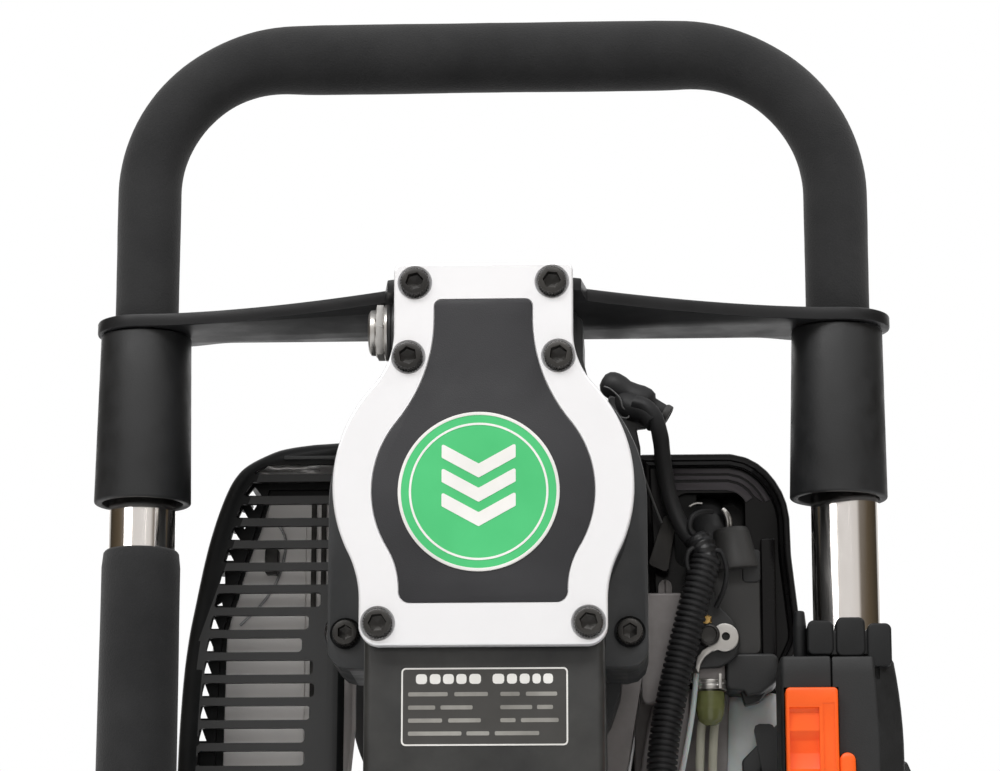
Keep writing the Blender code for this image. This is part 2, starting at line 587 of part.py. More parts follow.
cut(outer,
    box("cut_switch_outer", None, (SEAM_X - 1, 130.0), (-32, -18.5), (439.5, 482.6), on=FLOAT),
    cutter_rod("cut_button_room", (133.4, -16, 455), (0, -1, 0), 3.2, 0, 14, 12, FLOAT),
    box("cut_lockout_room", None, (146.4, 166), (-7.5, 7.5), (391.5, 458.5), on=FLOAT))
box("throttle_clamp", PLASTIC, (119, 151), (-23, 20), (495.0, 509.2), 4, "z", on=FLOAT)
cut(bpy.data.objects["throttle_clamp"],
    cutter_rod("cut_clamp_tube", (TUBE_X, 0, 488), (0, 0, 1), TUBE_R + 0.3, 0, 30, 24, FLOAT))
prism("throttle_trigger", PLASTIC, rounded([
    (109.0, 445), (115.5, 445), (116.0, 436), (110.0, 430), (104.5, 410), (104.0, 392), (100.5, 379), (95.5, 381),
    (95.0, 396), (100.0, 415), (105.5, 436)], [1.5, 2, 1.5, 2, 4, 4, 1.5, 1.5, 5, 6, 3], 2), "y", -5, 5,
    at=(112.5, 0, 441), on=TRIGGER)
prism("lockout_lever", PLASTIC, rounded([
    (150.5, 456.5), (156, 457.5), (160, 448), (162.5, 420), (161.0, 400), (158.0, 395), (157.0, 402), (156.0, 440),
    (150.5, 448)], 1.2, 2), "y", -6, 6, at=(153.5, 0, 452), on=LOCKOUT)
switch = box("stop_switch", ORANGE, (110.2, 129.6), (-29.5, -19.0), (445.0, 482.1), 1.5, "y", on=SWITCH)
cut(switch, prism("cut_thumb_dish", None, [(-33, 472.0), (-28.0, 469.0), (-28.0, 456.0), (-33, 453.0)], "x", 111.6, 122.4,
                  on=SWITCH))
turned("lock_button", ORANGE, (133.4, -19.6, 455), (0, -1, 0), [(2.8, 0), (2.8, 8), (2.1, 9)], 14, BUTTON)

# ------------------------------------------------------------------- engine
EY = PINION_Z
case = prism("engine_crankcase", GREY_CAST, rounded(
    [(-46, 452), (50, 452), (58, 500), (52, 545), (-46, 545)], [10, 10, 12, 8, 8], 3), "y", 37.6, 116.0)
cut(case, cutter_rod("cut_crankcase", (0, 30, EY), (0, 1, 0), 15, 0, 90, 24))
prism("cylinder_shroud", PLASTIC, rounded(
    [(-55, 545.3), (56, 545.3), (58, 580), (42, 607), (-38, 607), (-55, 592)], [4, 6, 14, 12, 14, 10], 3),
    "y", 40, 115.8)
turned("flywheel", STEEL, (0, 18.2, EY), (0, 1, 0), [
    (4, 0), (30, 0.8), (30, 13.8), (9, 13.8), (9, 99), (50, 101), (50, 115), (10, 115), (8, 119)],
    24, ROTOR)
recoil = turned("recoil_housing", PLASTIC, (0, 116.3, EY), (0, 1, 0), [
    (56, 0), (64, 0), (64, 34), (58, 52), (20, 57), (20, 53), (55, 49), (56, 46)], 28, closed=True)
cut(recoil, cutter_rod("cut_rope_hole", (26, 154, EY + 30), (0, 0, 1), 3.5, 0, 50, 12))
turned("starter_pulley", PLASTIC, (0, 144, EY), (0, 1, 0), [
    (30, 0), (30, 2), (24, 4), (24, 14), (30, 16), (30, 18)], 20, PULLEY)
turned("starter_rope", RUBBER, (26, 154, EY + 28), (0, 0, 1), [(1.8, 0), (1.8, 41.5)], 8)
prism("starter_grip", PLASTIC, rounded([(9, 567), (43, 567), (43, 581), (9, 581)], 6, 3), "y", 147, 161,
      at=(26, 154, 566), on=PULL)
tank = prism("fuel_tank", TANK, rounded(
    [(-56, 376), (96, 376), (112, 390), (113, 478), (104, 488), (90, 487), (84, 431), (-56, 431)],
    [14, 10, 10, 8, 5, 5, 12, 12], 3), "y", 64, 150)
turned("fuel_cap", PLASTIC, (-56.3, 122, 404), (-1, 0, 0), [(19, 0), (19, 12), (17, 15)], 20, CAP)
prism("muffler", EXHAUST, rounded([(-110, 440), (-64, 440), (-60, 480), (-60, 568), (-90, 568), (-98, 552), (-105, 532),
                                   (-109.5, 512)], [8, 8, 8, 8, 5, 3, 3, 3], 2), "y", 60, 96)

GUARD = [(-59, 592), (-83, 590.5), (-95, 586), (-103.5, 580), (-109, 571), (-114, 557), (-118, 544), (-122, 525),
         (-125, 509), (-127.5, 490), (-129, 466), (-128, 430), (-122, 405), (-110, 394), (-60, 392)]
guard = prism("muffler_guard", PLASTIC, GUARD, "y", 45, 100)
inside = [(x + (3.2 if x < -60 else 3.0) * (1 if x < -75 else 0.6), z - 3.2 if z > 560 else z + 3.2 if z < 410 else z)
          for x, z in GUARD]
inside[0], inside[-1] = (-50, 588.8), (-50, 395.2)
cut(guard, prism("cut_guard_room", None, inside, "y", 48.2, 110))
for k in range(12):
    zc = 577.0 - 9.0 * k
    left = -100 - min(22, 3.4 * k ** 0.85)
    right = -58 if k < 5 else -71
    cut(guard, box(f"cut_slot_{k}", None, (left, right), (41, 61), (zc - 4.6, zc + 0.1)))

# air intake side
aircase = prism("air_cleaner_case", PLASTIC, rounded(
    [(70, 500), (70, 546), (59.5, 546), (59.5, 586), (100, 586), (116, 566), (120.5, 512), (112, 494)],
    [5, 2, 2, 5, 12, 16, 10, 8], 3), "y", 48, 90)
cut(aircase, box("cut_intake", None, (73, 99), (40, 76), (550, 571), 5, "y"))
prism("air_cleaner_cover", PLASTIC, rounded(
    [(68, 497), (72, 588), (101, 588), (118, 567), (121, 510), (113, 491)], [5, 6, 12, 16, 10, 8], 3), "y", 90.3, 122)
carb = box("carburettor", GREY_CAST, (64, 69.5), (50, 84), (498, 536), 3, "y")
join(carb, box("add_carb_side", None, (62, 69.6), (56, 80), (505, 530), 0, "y"))
turned("primer_bulb", BULB, (85.8, 52, 492), (0, 0, -1), [(6.4, 0), (6.4, 2), (5.8, 3), (5.8, 8), (4.2, 12), (1.5, 13.6)],
       16, PRIMER)
prism("choke_lever", PLASTIC, rounded([(101, 479), (109, 479), (113, 462), (112, 450), (106, 450), (104, 462)], 2, 2),
      "y", 57, 60.5, at=(105, 60, 474), on=CHOKE)
prism("throttle_arm", STEEL, rounded([(60, 541), (68, 537.5), (71.5, 560), (66.5, 561)], 1.5, 2), "y", 44, 46,
      at=(65, 45, 541), on=CARB)
turned("spark_plug_boot", RUBBER, (43, 50, 618.5), (0.79, 0, -0.61), [
    (7, 0), (9.2, 2), (9.2, 14), (8.0, 18), (8.4, 30), (6.5, 33)], 16)

# ----------------------------------------------------------- lead and conduit
LEAD = [(66.5, 41, 592), (67.5, 37.5, 580), (70, 35, 567), (75, 33, 553.5), (79.5, 32, 546.5)]
CONDUIT = [(83, 31, 541.5), (80, 30, 531), (76, 30, 516), (70, 30, 492), (65.5, 29, 468), (64, 28, 440),
           (66, 26, 400), (74, 24, 355), (88, 22, 318), (108, 21, 298), (127, 20.5, 304), (134.5, 20.5, 326),
           (135.5, 20.5, 350), (135.5, 20.5, 371.6)]
cable("ht_lead", RUBBER, LEAD, 3.3, 7.0)
cable("conduit", RUBBER, CONDUIT, 6.0, 12.0)
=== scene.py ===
"""Looks of the petrol post driver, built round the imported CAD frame.

Lengths in the piece functions are millimetres from the floor that the machine
stands on, with Y = 0 in the plane of the side tubes. place() turns them into
the frame's metres: the frame's origin is the centre of the strike face.
"""
import bpy, bmesh
from math import sin, cos, pi, sqrt, atan2, radians, exp
from mathutils import Vector, Matrix, noise

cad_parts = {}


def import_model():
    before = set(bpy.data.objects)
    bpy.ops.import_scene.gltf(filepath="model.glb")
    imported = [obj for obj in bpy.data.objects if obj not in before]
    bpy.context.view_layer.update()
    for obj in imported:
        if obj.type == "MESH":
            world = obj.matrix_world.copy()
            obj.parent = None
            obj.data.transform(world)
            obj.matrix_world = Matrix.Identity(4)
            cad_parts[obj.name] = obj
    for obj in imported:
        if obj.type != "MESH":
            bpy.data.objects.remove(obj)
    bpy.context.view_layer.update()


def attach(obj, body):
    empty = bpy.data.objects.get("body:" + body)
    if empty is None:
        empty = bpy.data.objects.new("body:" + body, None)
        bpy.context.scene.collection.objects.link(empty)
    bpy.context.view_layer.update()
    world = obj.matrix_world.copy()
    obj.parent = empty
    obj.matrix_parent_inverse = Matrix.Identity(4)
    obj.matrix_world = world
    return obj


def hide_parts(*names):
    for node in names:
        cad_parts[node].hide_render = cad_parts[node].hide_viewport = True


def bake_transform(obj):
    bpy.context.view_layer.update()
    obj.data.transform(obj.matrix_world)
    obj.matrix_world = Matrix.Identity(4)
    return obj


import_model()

# ------------------------------------------------------------------ helpers
OFFSET = Vector((0.0, -26.0, 100.0))


def place(p):
    return (Vector(p) - OFFSET) / 1000.0


def axis_frame(axis):
    w = Vector(axis).normalized()
    if abs(w.x) > 0.9:
        u = Vector((0, 1, 0))
    elif abs(w.y) > 0.9:
        u = Vector((0, 0, 1))
    else:
        u = Vector((1, 0, 0))
    v = w.cross(u).normalized()
    u = v.cross(w).normalized()
    return u, v, w


def ring_bm(loops, closed=False, caps=True):
    bm = bmesh.new()
    rows = [[bm.verts.new(p) for p in loop] for loop in loops]
    n = len(rows[0])
    pairs = list(zip(rows, rows[1:])) + ([(rows[-1], rows[0])] if closed else [])
    for a, b in pairs:
        for i in range(n):
            j = (i + 1) % n
            bm.faces.new((a[i], a[j], b[j], b[i]))
    if not closed and caps:
        bm.faces.new(list(reversed(rows[0])))
        bm.faces.new(rows[-1])
    return bm


def obj(name, bm, mats, smooth=32.0, weld=True):
    if weld:
        bmesh.ops.remove_doubles(bm, verts=bm.verts, dist=1e-4)
    bmesh.ops.recalc_face_normals(bm, faces=bm.faces)
    for v in bm.verts:
        v.co = place(v.co)
    me = bpy.data.meshes.new(name)
    bm.to_mesh(me)
    bm.free()
    me.shade_smooth()
    me.set_sharp_from_angle(angle=radians(smooth))
    for m in (mats if isinstance(mats, (list, tuple)) else [mats]):
        me.materials.append(m)
    ob = bpy.data.objects.new(name, me)
    bpy.context.collection.objects.link(ob)
    return ob


def bake(ob, smooth=32.0):
    """Writes an object's modifiers into its mesh."""
    dg = bpy.context.evaluated_depsgraph_get()
    dg.update()
    ev = ob.evaluated_get(dg)
    me = bpy.data.meshes.new_from_object(ev, preserve_all_data_layers=True, depsgraph=dg)
    old = ob.data
    ob.modifiers.clear()
    ob.data = me
    me.name = ob.name
    bpy.data.meshes.remove(old)
    me.shade_smooth()
    me.set_sharp_from_angle(angle=radians(smooth))
    return ob


def boolean(ob, others, op="DIFFERENCE"):
    for c in others:
        m = ob.modifiers.new("b", "BOOLEAN")
        m.operation = op
        m.object = c
        m.solver = "EXACT"
    bake(ob)
    for c in others:
        bpy.data.objects.remove(c, do_unlink=True)
    return ob


def bevel(ob, width, segments=3, angle=32.0, smooth=32.0):
    """Rounds the sharp edges of a piece, width in millimetres."""
    m = ob.modifiers.new("edge", "BEVEL")
    m.width = width / 1000.0
    m.segments = segments
    m.limit_method = "ANGLE"
    m.angle_limit = radians(angle)
    m.use_clamp_overlap = True
    m.miter_outer = "MITER_ARC"
    return bake(ob, smooth)


def turned(name, mats, at, axis, profile, segs=64, ring=False, smooth=32.0):
    u, v, w = axis_frame(axis)
    at = Vector(at)
    loops = []
    for r, d in profile:
        pts = []
        for i in range(segs):
            a = 2 * pi * i / segs
            rr = r(a) if callable(r) else r
            pts.append(at + w * d + u * (rr * cos(a)) + v * (rr * sin(a)))
        loops.append(pts)
    return obj(name, ring_bm(loops, ring), mats, smooth)


def soft_profile(points, r=1.0, n=3, closed=False):
    """A profile or outline with its corners rounded by r, or by a third value of the point."""
    out = []
    m = len(points)
    for i, q in enumerate(points):
        p = Vector(q[:2])
        rr = q[2] if len(q) > 2 else r
        if rr <= 0 or (not closed and i in (0, m - 1)):
            out.append((p.x, p.y))
            continue
        a = Vector(points[i - 1][:2]) - p
        b = Vector(points[(i + 1) % m][:2]) - p
        la, lb = a.length, b.length
        if la < 1e-6 or lb < 1e-6:
            out.append((p.x, p.y))
            continue
        a, b = a / la, b / lb
        ang = a.angle(b)
        if abs(ang - pi) < 0.02:
            out.append((p.x, p.y))
            continue
        half = ang / 2
        d = min(rr / max(1e-6, sin(half) / cos(half)), la * 0.49, lb * 0.49)
        rr = d * sin(half) / cos(half)
        c = p + (a + b).normalized() * (rr / sin(half))
        s, e = p + a * d - c, p + b * d - c
        turn = atan2(s.x * e.y - s.y * e.x, s.x * e.x + s.y * e.y)
        for k in range(n + 1):
            t = turn * k / n
            out.append((c.x + s.x * cos(t) - s.y * sin(t), c.y + s.x * sin(t) + s.y * cos(t)))
    return out


def put(axis, a, b, t):
    return {"x": (t, a, b), "y": (a, t, b), "z": (a, b, t)}[axis]


def prism(name, mats, outline, axis, lo, hi, edge=0.0, segs=3, smooth=32.0):
    loops = [[Vector(put(axis, a, b, t)) for a, b in outline] for t in (lo, hi)]
    ob = obj(name, ring_bm(loops), mats, smooth)
    if edge:
        bevel(ob, edge, segs, 40.0, smooth)
    return ob


def box(name, mats, x, y, z, r=0.0, axis="z", edge=0.0, n=4):
    if axis == "z":
        pts, lo, hi = [(x[0], y[0]), (x[1], y[0]), (x[1], y[1]), (x[0], y[1])], z[0], z[1]
    elif axis == "y":
        pts, lo, hi = [(x[0], z[0]), (x[1], z[0]), (x[1], z[1]), (x[0], z[1])], y[0], y[1]
    else:
        pts, lo, hi = [(y[0], z[0]), (y[1], z[0]), (y[1], z[1]), (y[0], z[1])], x[0], x[1]
    return prism(name, mats, soft_profile(pts, r, n, True) if r else pts, axis, lo, hi, edge)


def offset(outline, d):
    """The outline moved inward by d."""
    n = len(outline)
    area = sum(outline[i][0] * outline[(i + 1) % n][1] - outline[(i + 1) % n][0] * outline[i][1] for i in range(n))
    s = 1 if area > 0 else -1
    out = []
    for i in range(n):
        a, p, b = Vector(outline[i - 1]), Vector(outline[i]), Vector(outline[(i + 1) % n])
        e1, e2 = (p - a), (b - p)
        if e1.length < 1e-6 or e2.length < 1e-6:
            e1 = e2 = (b - a)
        e1.normalize(); e2.normalize()
        n1, n2 = Vector((-e1.y, e1.x)) * s, Vector((-e2.y, e2.x)) * s
        m = n1 + n2
        k = m.length_squared
        m = m * (2 / k) if k > 0.3 else m
        out.append((p.x + m.x * d * 1.0, p.y + m.y * d * 1.0))
    return out


def poly(points, r=1.0, n=8):
    """A family of outlines: a polygon with rounded corners, moved inward by any distance.
    A corner's radius shrinks as an outer corner's does, and grows at an inner corner."""
    base = [tuple(q[:2]) for q in points]
    rr = [q[2] if len(q) > 2 else r for q in points]
    m = len(base)
    area = sum(base[i][0] * base[(i + 1) % m][1] - base[(i + 1) % m][0] * base[i][1] for i in range(m))
    turn = []
    for i in range(m):
        a, p, b = Vector(base[i - 1]), Vector(base[i]), Vector(base[(i + 1) % m])
        turn.append(((p - a).cross(b - p)) * (1 if area > 0 else -1) > 0)

    def at(d):
        pts = offset(base, d)
        return soft_profile([(x, z, max(0.15, rr[i] - d if turn[i] else rr[i] + d)) for i, (x, z) in enumerate(pts)], 1, n, True)
    return at


def shell(name, mats, outline, steps, axis="y", ring=False, smooth=32.0):
    """An outline run through steps of (inset, position along the axis)."""
    at = outline if callable(outline) else lambda d: offset(outline, d)
    loops = [[Vector(put(axis, a, b, t)) for a, b in at(d)] for d, t in steps]
    return obj(name, ring_bm(loops, ring), mats, smooth, weld=False)


def arc(cx, cy, r, a0, a1, n):
    return [(cx + r * cos(radians(a0 + (a1 - a0) * i / n)),
             cy + r * sin(radians(a0 + (a1 - a0) * i / n))) for i in range(n + 1)]


def bottle(neck, base, r, cz, top, bottom, r_neck, r_base, c_top, c_bottom, n=28, m=8):
    nz = cz + sqrt((r + r_neck) ** 2 - (neck + r_neck) ** 2)
    bz = cz - sqrt((r + r_base) ** 2 - (base + r_base) ** 2)
    an = atan2(nz - cz, neck + r_neck) * 180 / pi
    ab = atan2(bz - cz, base + r_base) * 180 / pi
    right = arc(base - c_bottom, bottom + c_bottom, c_bottom, -90, 0, m)
    right += [(base + r_base - r_base * cos(radians(-ab * k / m)),
               bz + r_base * sin(radians(-ab * k / m))) for k in range(m + 1)]
    right += arc(0, cz, r, ab, an, n)[1:]
    right += [(neck + r_neck - r_neck * cos(radians(an * (1 - k / m))),
               nz - r_neck * sin(radians(an * (1 - k / m)))) for k in range(1, m + 1)]
    right += arc(neck - c_top, top - c_top, c_top, 0, 90, m)
    return right + [(-x, z) for x, z in reversed(right)]


def catmull(points, per=16):
    p = [Vector(points[0]) * 2 - Vector(points[1])] + [Vector(q) for q in points]
    p.append(p[-1] * 2 - p[-2])
    out = []
    for i in range(1, len(p) - 2):
        for k in range(per):
            t = k / per
            a, b, c, d = p[i - 1:i + 3]
            out.append(0.5 * ((2 * b) + (c - a) * t + (2 * a - 5 * b + 4 * c - d) * t * t
                              + (3 * b - 3 * c + d - a) * t ** 3))
    out.append(p[-2])
    return out


def even(points, spacing):
    """Points evenly spaced along a polyline."""
    pts = [Vector(q) for q in points]
    total = sum((b - a).length for a, b in zip(pts, pts[1:]))
    count = max(2, round(total / spacing))
    step = total / count
    out, need = [pts[0]], step
    for a, b in zip(pts, pts[1:]):
        d = (b - a).length
        while d >= need and len(out) < count:
            a = a + (b - a) * (need / d)
            out.append(a)
            d = (b - a).length
            need = step
        need -= d
    out.append(pts[-1])
    return out


def tube(name, mats, path, radius, segs=24, caps=True, smooth=60.0, ring=False):
    """A round section along a path. radius is a number or a function of the
    distance travelled and of the angle round the section."""
    path = [Vector(p) for p in path]
    n = len(path)
    t0 = (path[1] - path[0]).normalized()
    u = t0.orthogonal().normalized()
    loops, s, last = [], 0.0, t0
    for i, p in enumerate(path):
        a, b = path[max(0, i - 1)], path[min(n - 1, i + 1)]
        if ring:
            a, b = path[i - 1], path[(i + 1) % n]
        t = (b - a).normalized()
        q = last.rotation_difference(t)
        u = (q @ u)
        u = (u - t * u.dot(t)).normalized()
        v = t.cross(u)
        last = t
        if i:
            s += (p - path[i - 1]).length
        loops.append([p + (u * cos(2 * pi * k / segs) + v * sin(2 * pi * k / segs))
                      * (radius(s, 2 * pi * k / segs) if callable(radius) else radius)
                      for k in range(segs)])
    return obj(name, ring_bm(loops, ring, caps), mats, smooth, weld=False)


def merge(name, obs):
    """Joins pieces of one body and one finish into a single object."""
    bm = bmesh.new()
    mats, index = [], {}
    for o in obs:
        me = o.data
        start = len(bm.faces)
        bm.from_mesh(me)
        bm.faces.ensure_lookup_table()
        for f in bm.faces[start:]:
            m = me.materials[f.material_index]
            if m.name not in index:
                index[m.name] = len(mats)
                mats.append(m)
            f.material_index = index[m.name]
    me = bpy.data.meshes.new(name)
    bm.to_mesh(me)
    bm.free()
    for m in mats:
        me.materials.append(m)
    ob = bpy.data.objects.new(name, me)
    bpy.context.collection.objects.link(ob)
    for o in obs:
        bpy.data.objects.remove(o, do_unlink=True)
    return ob


def on(ob, body, replaces=()):
    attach(ob, body)
    if replaces:
        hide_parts(*([replaces] if isinstance(replaces, str) else replaces))
    return ob


# ---------------------------------------------------------------- materials
class Mat:
    """A node material, built from small blocks."""

    def __init__(self, name):
        self.m = bpy.data.materials.new(name)
        self.m.use_nodes = True
        self.nt = self.m.node_tree
        self.b = self.nt.nodes["Principled BSDF"]
        self.tc = self.node("ShaderNodeTexCoord")

    def node(self, kind, **k):
        n = self.nt.nodes.new(kind)
        for a, v in k.items():
            setattr(n, a, v)
        return n

    def link(self, a, b):
        self.nt.links.new(a, b)

    def set(self, **k):
        for a, v in k.items():
            self.b.inputs[a.replace("_", " ")].default_value = v
        return self

    def coords(self, scale=(1, 1, 1)):
        mp = self.node("ShaderNodeMapping")
        mp.inputs["Scale"].default_value = scale
        self.link(self.tc.outputs["Object"], mp.inputs["Vector"])
        return mp.outputs["Vector"]

    def noise(self, scale, detail=3.0, rough=0.55, stretch=(1, 1, 1)):
        n = self.node("ShaderNodeTexNoise")
        n.inputs["Scale"].default_value = scale
        n.inputs["Detail"].default_value = detail
        n.inputs["Roughness"].default_value = rough
        self.link(self.coords(stretch), n.inputs["Vector"])
        return n.outputs["Fac"]

    def cells(self, scale, feature="F1", smooth=None, stretch=(1, 1, 1)):
        n = self.node("ShaderNodeTexVoronoi")
        n.feature = feature
        n.inputs["Scale"].default_value = scale
        self.link(self.coords(stretch), n.inputs["Vector"])
        return n.outputs["Distance"]

    def ramp(self, fac, stops):
        r = self.node("ShaderNodeValToRGB")
        e = r.color_ramp.elements
        e[0].position, e[0].color = stops[0][0], (*stops[0][1], 1)
        e[1].position, e[1].color = stops[-1][0], (*stops[-1][1], 1)
        for p, c in stops[1:-1]:
            x = e.new(p)
            x.color = (*c, 1)
        self.link(fac, r.inputs["Fac"])
        return r.outputs["Color"]

    def span(self, fac, lo, hi, a=0.0, b=1.0):
        r = self.node("ShaderNodeMapRange")
        r.inputs["From Min"].default_value, r.inputs["From Max"].default_value = a, b
        r.inputs["To Min"].default_value, r.inputs["To Max"].default_value = lo, hi
        self.link(fac, r.inputs["Value"])
        return r.outputs["Result"]

    def math(self, op, a, b):
        n = self.node("ShaderNodeMath", operation=op)
        for i, x in enumerate((a, b)):
            if hasattr(x, "links") or hasattr(x, "is_linked"):
                self.link(x, n.inputs[i])
            else:
                n.inputs[i].default_value = x
        return n.outputs[0]

    def colour(self, fac, c0, c1, a=0.3, b=0.7):
        self.link(self.ramp(fac, [(a, c0), (b, c1)]), self.b.inputs["Base Color"])
        return self

    def rough(self, fac, lo, hi, a=0.3, b=0.7):
        self.link(self.span(fac, lo, hi, a, b), self.b.inputs["Roughness"])
        return self

    def bump(self, *layers):
        """Layers of (height, strength, distance in millimetres), the last on top."""
        last = None
        for h, strength, mm in layers:
            n = self.node("ShaderNodeBump")
            n.inputs["Strength"].default_value = strength
            n.inputs["Distance"].default_value = mm / 1000.0
            self.link(h, n.inputs["Height"])
            if last:
                self.link(last, n.inputs["Normal"])
            last = n.outputs["Normal"]
        self.link(last, self.b.inputs["Normal"])
        return self

    def wear(self, tone, width=0.35, amount=0.5):
        """Rubbed edges: the difference between the true and a rounded normal picks them out."""
        bv = self.node("ShaderNodeBevel")
        bv.samples = 4
        bv.inputs["Radius"].default_value = width / 1000.0
        ge = self.node("ShaderNodeNewGeometry")
        dot = self.node("ShaderNodeVectorMath", operation="DOT_PRODUCT")
        self.link(bv.outputs["Normal"], dot.inputs[0])
        self.link(ge.outputs["Normal"], dot.inputs[1])
        edge = self.span(dot.outputs["Value"], 1.0, 0.0, 0.82, 0.985)
        patch = self.span(self.noise(160, 4), 0.0, 1.0, 0.42, 0.62)
        f = self.math("MULTIPLY", self.math("MULTIPLY", edge, patch), amount)
        src = self.b.inputs["Base Color"]
        mix = self.node("ShaderNodeMix", data_type="RGBA")
        self.link(f, mix.inputs["Factor"])
        if src.is_linked:
            self.link(src.links[0].from_socket, mix.inputs["A"])
        else:
            mix.inputs["A"].default_value = src.default_value
        mix.inputs["B"].default_value = (*tone, 1)
        self.link(mix.outputs["Result"], src)
        return self


def foam_mat():
    m = Mat("foam_black")
    big = m.noise(38, 3)
    fine = m.noise(2600, 2, 0.7)
    pits = m.cells(1500)
    m.set(Specular_IOR_Level=0.32, Sheen_Weight=0.16, Sheen_Roughness=0.5)
    m.colour(big, (0.0125, 0.0128, 0.0135), (0.021, 0.0213, 0.022))
    m.rough(fine, 0.78, 0.97)
    return m.bump((big, 0.25, 0.6), (pits, 0.5, 0.25), (fine, 0.4, 0.12)).m


def paint_mat(name, c0, c1, r0, r1, peel=0.06, wear=None, coat=0.0, metal=0.0, scale=900, spec=0.5):
    m = Mat(name)
    m.set(Metallic=metal, Coat_Weight=coat, Coat_Roughness=0.12, Specular_IOR_Level=spec)
    m.colour(m.noise(45, 4), c0, c1)
    m.rough(m.noise(70, 4), r0, r1)
    m.bump((m.noise(scale, 2), 0.35, peel), (m.noise(60, 2), 0.12, peel * 3))
    if wear:
        m.wear(wear)
    return m.m


def plastic_mat(name, c0, c1, r0, r1, grain=1400, depth=0.05, spec=0.5, coat=0.0):
    m = Mat(name)
    m.set(Specular_IOR_Level=spec, Coat_Weight=coat, Coat_Roughness=0.06)
    m.colour(m.noise(30, 4), c0, c1)
    m.rough(m.noise(120, 4), r0, r1)
    return m.bump((m.cells(grain), 0.35, depth), (m.noise(25, 2), 0.08, 0.3)).m


def brushed_mat(name, c0, c1, r0, r1, stretch, aniso=0.5, streak=0.05, metal=1.0):
    m = Mat(name)
    m.set(Metallic=metal, Anisotropic=aniso)
    lines = m.noise(220, 5, 0.65, stretch)
    blot = m.noise(22, 4)
    m.colour(blot, c0, c1)
    m.rough(lines, r0, r1)
    return m.bump((lines, 0.22, streak)).m


FOAM = foam_mat()
SLEEVE = plastic_mat("sleeve_rubber", (0.010, 0.0105, 0.011), (0.018, 0.0185, 0.0195), 0.42, 0.60, 1100, 0.05, 0.45)
RUBBER = plastic_mat("rubber", (0.011, 0.011, 0.0115), (0.021, 0.021, 0.022), 0.45, 0.68, 900, 0.06, 0.4)
PLATE = paint_mat("powder_coat", (0.010, 0.0102, 0.011), (0.016, 0.0162, 0.017), 0.34, 0.48, 0.05, (0.10, 0.10, 0.105), 0.0, 0.0, 900, 0.3)
CAST = paint_mat("painted_casting", (0.017, 0.0185, 0.0195), (0.031, 0.0325, 0.034), 0.36, 0.58, 0.12,
                 (0.16, 0.16, 0.16), 0.0, 0.0, 420)
BLOCK = paint_mat("painted_block", (0.012, 0.0125, 0.0125), (0.036, 0.036, 0.034), 0.28, 0.55, 0.09,
                  (0.14, 0.14, 0.14), 0.1, 0.0, 600)
ALUMINIUM = brushed_mat("brushed_aluminium", (0.93, 0.93, 0.945), (0.955, 0.955, 0.97), 0.34, 0.42, (1, 1, 14), 0.2, 0.003, 0.5)
PANEL = plastic_mat("panel_texture", (0.019, 0.019, 0.0215), (0.030, 0.030, 0.033), 0.50, 0.64, 1900, 0.09, 0.42)
STAINLESS = brushed_mat("polished_stainless", (0.90, 0.86, 0.83), (0.95, 0.915, 0.885), 0.06, 0.14, (9, 9, 0.6), 0.35, 0.008)
MACHINED = brushed_mat("machined_steel", (0.42, 0.42, 0.43), (0.58, 0.58, 0.59), 0.22, 0.42, (1, 1, 8), 0.4, 0.03)
ZINC = brushed_mat("zinc_plate", (0.50, 0.485, 0.46), (0.62, 0.605, 0.58), 0.28, 0.45, (3, 3, 3), 0.2, 0.02)
SPRINGM = brushed_mat("spring_zinc", (0.40, 0.40, 0.42), (0.55, 0.55, 0.56), 0.25, 0.42, (2, 2, 2), 0.2, 0.02)
OXIDE = paint_mat("black_oxide", (0.022, 0.021, 0.020), (0.055, 0.052, 0.048), 0.30, 0.50, 0.05, (0.20, 0.19, 0.18), 0.0, 0.55, 1200)
BLACK = plastic_mat("black_moulding", (0.014, 0.0143, 0.0148), (0.024, 0.0245, 0.025), 0.36, 0.55, 1200, 0.05, 0.5)
GRIPCASE = plastic_mat("grip_moulding", (0.012, 0.0124, 0.0128), (0.018, 0.0185, 0.019), 0.46, 0.60, 1700, 0.06, 0.38)
CLAMPM = plastic_mat("clamp_moulding", (0.0065, 0.007, 0.0075), (0.010, 0.0105, 0.011), 0.48, 0.62, 1700, 0.06, 0.30)
GLOSS = plastic_mat("gloss_moulding", (0.005, 0.0045, 0.0048), (0.008, 0.0075, 0.008), 0.16, 0.24, 500, 0.012, 0.22, 0.0)
GREYP = plastic_mat("grey_moulding", (0.038, 0.037, 0.036), (0.055, 0.054, 0.052), 0.5, 0.65, 900, 0.05)
CASTGREY = paint_mat("raw_casting", (0.20, 0.185, 0.18), (0.31, 0.29, 0.285), 0.42, 0.62, 0.2, (0.5, 0.5, 0.5), 0.0, 0.35, 350)
EXHAUST = brushed_mat("aluminised_sheet", (0.93, 0.905, 0.885), (0.985, 0.96, 0.94), 0.38, 0.52, (1, 1, 0.3), 0.1, 0.012, 0.12)
# the guard's black moulding in two copies: a paler one painted as the light on its front faces, and a near-black one
# painted as shade, also used for the dark pieces behind the louvres
GUARD_LIT_FACE = plastic_mat("louvre_face_painted_light", (0.028, 0.0285, 0.0285), (0.038, 0.0385, 0.0385), 0.46, 0.6, 1400, 0.05, 0.45)
GUARD_BLACK_AND_SHADE = plastic_mat("guard_black_and_painted_shade", (0.005, 0.0055, 0.0058), (0.008, 0.0085, 0.0088), 0.34, 0.46, 900, 0.015, 0.20)
GUARD_BAR = plastic_mat("guard_bar", (0.055, 0.057, 0.057), (0.075, 0.077, 0.077), 0.5, 0.6, 1200, 0.02, 0.4)
# pale purple-grey for the air box's ribs: a painted highlight on black plastic
BOX_RIB_HIGHLIGHT = plastic_mat("box_rib", (0.048, 0.041, 0.047), (0.066, 0.058, 0.065), 0.34, 0.46, 500, 0.012, 0.45)
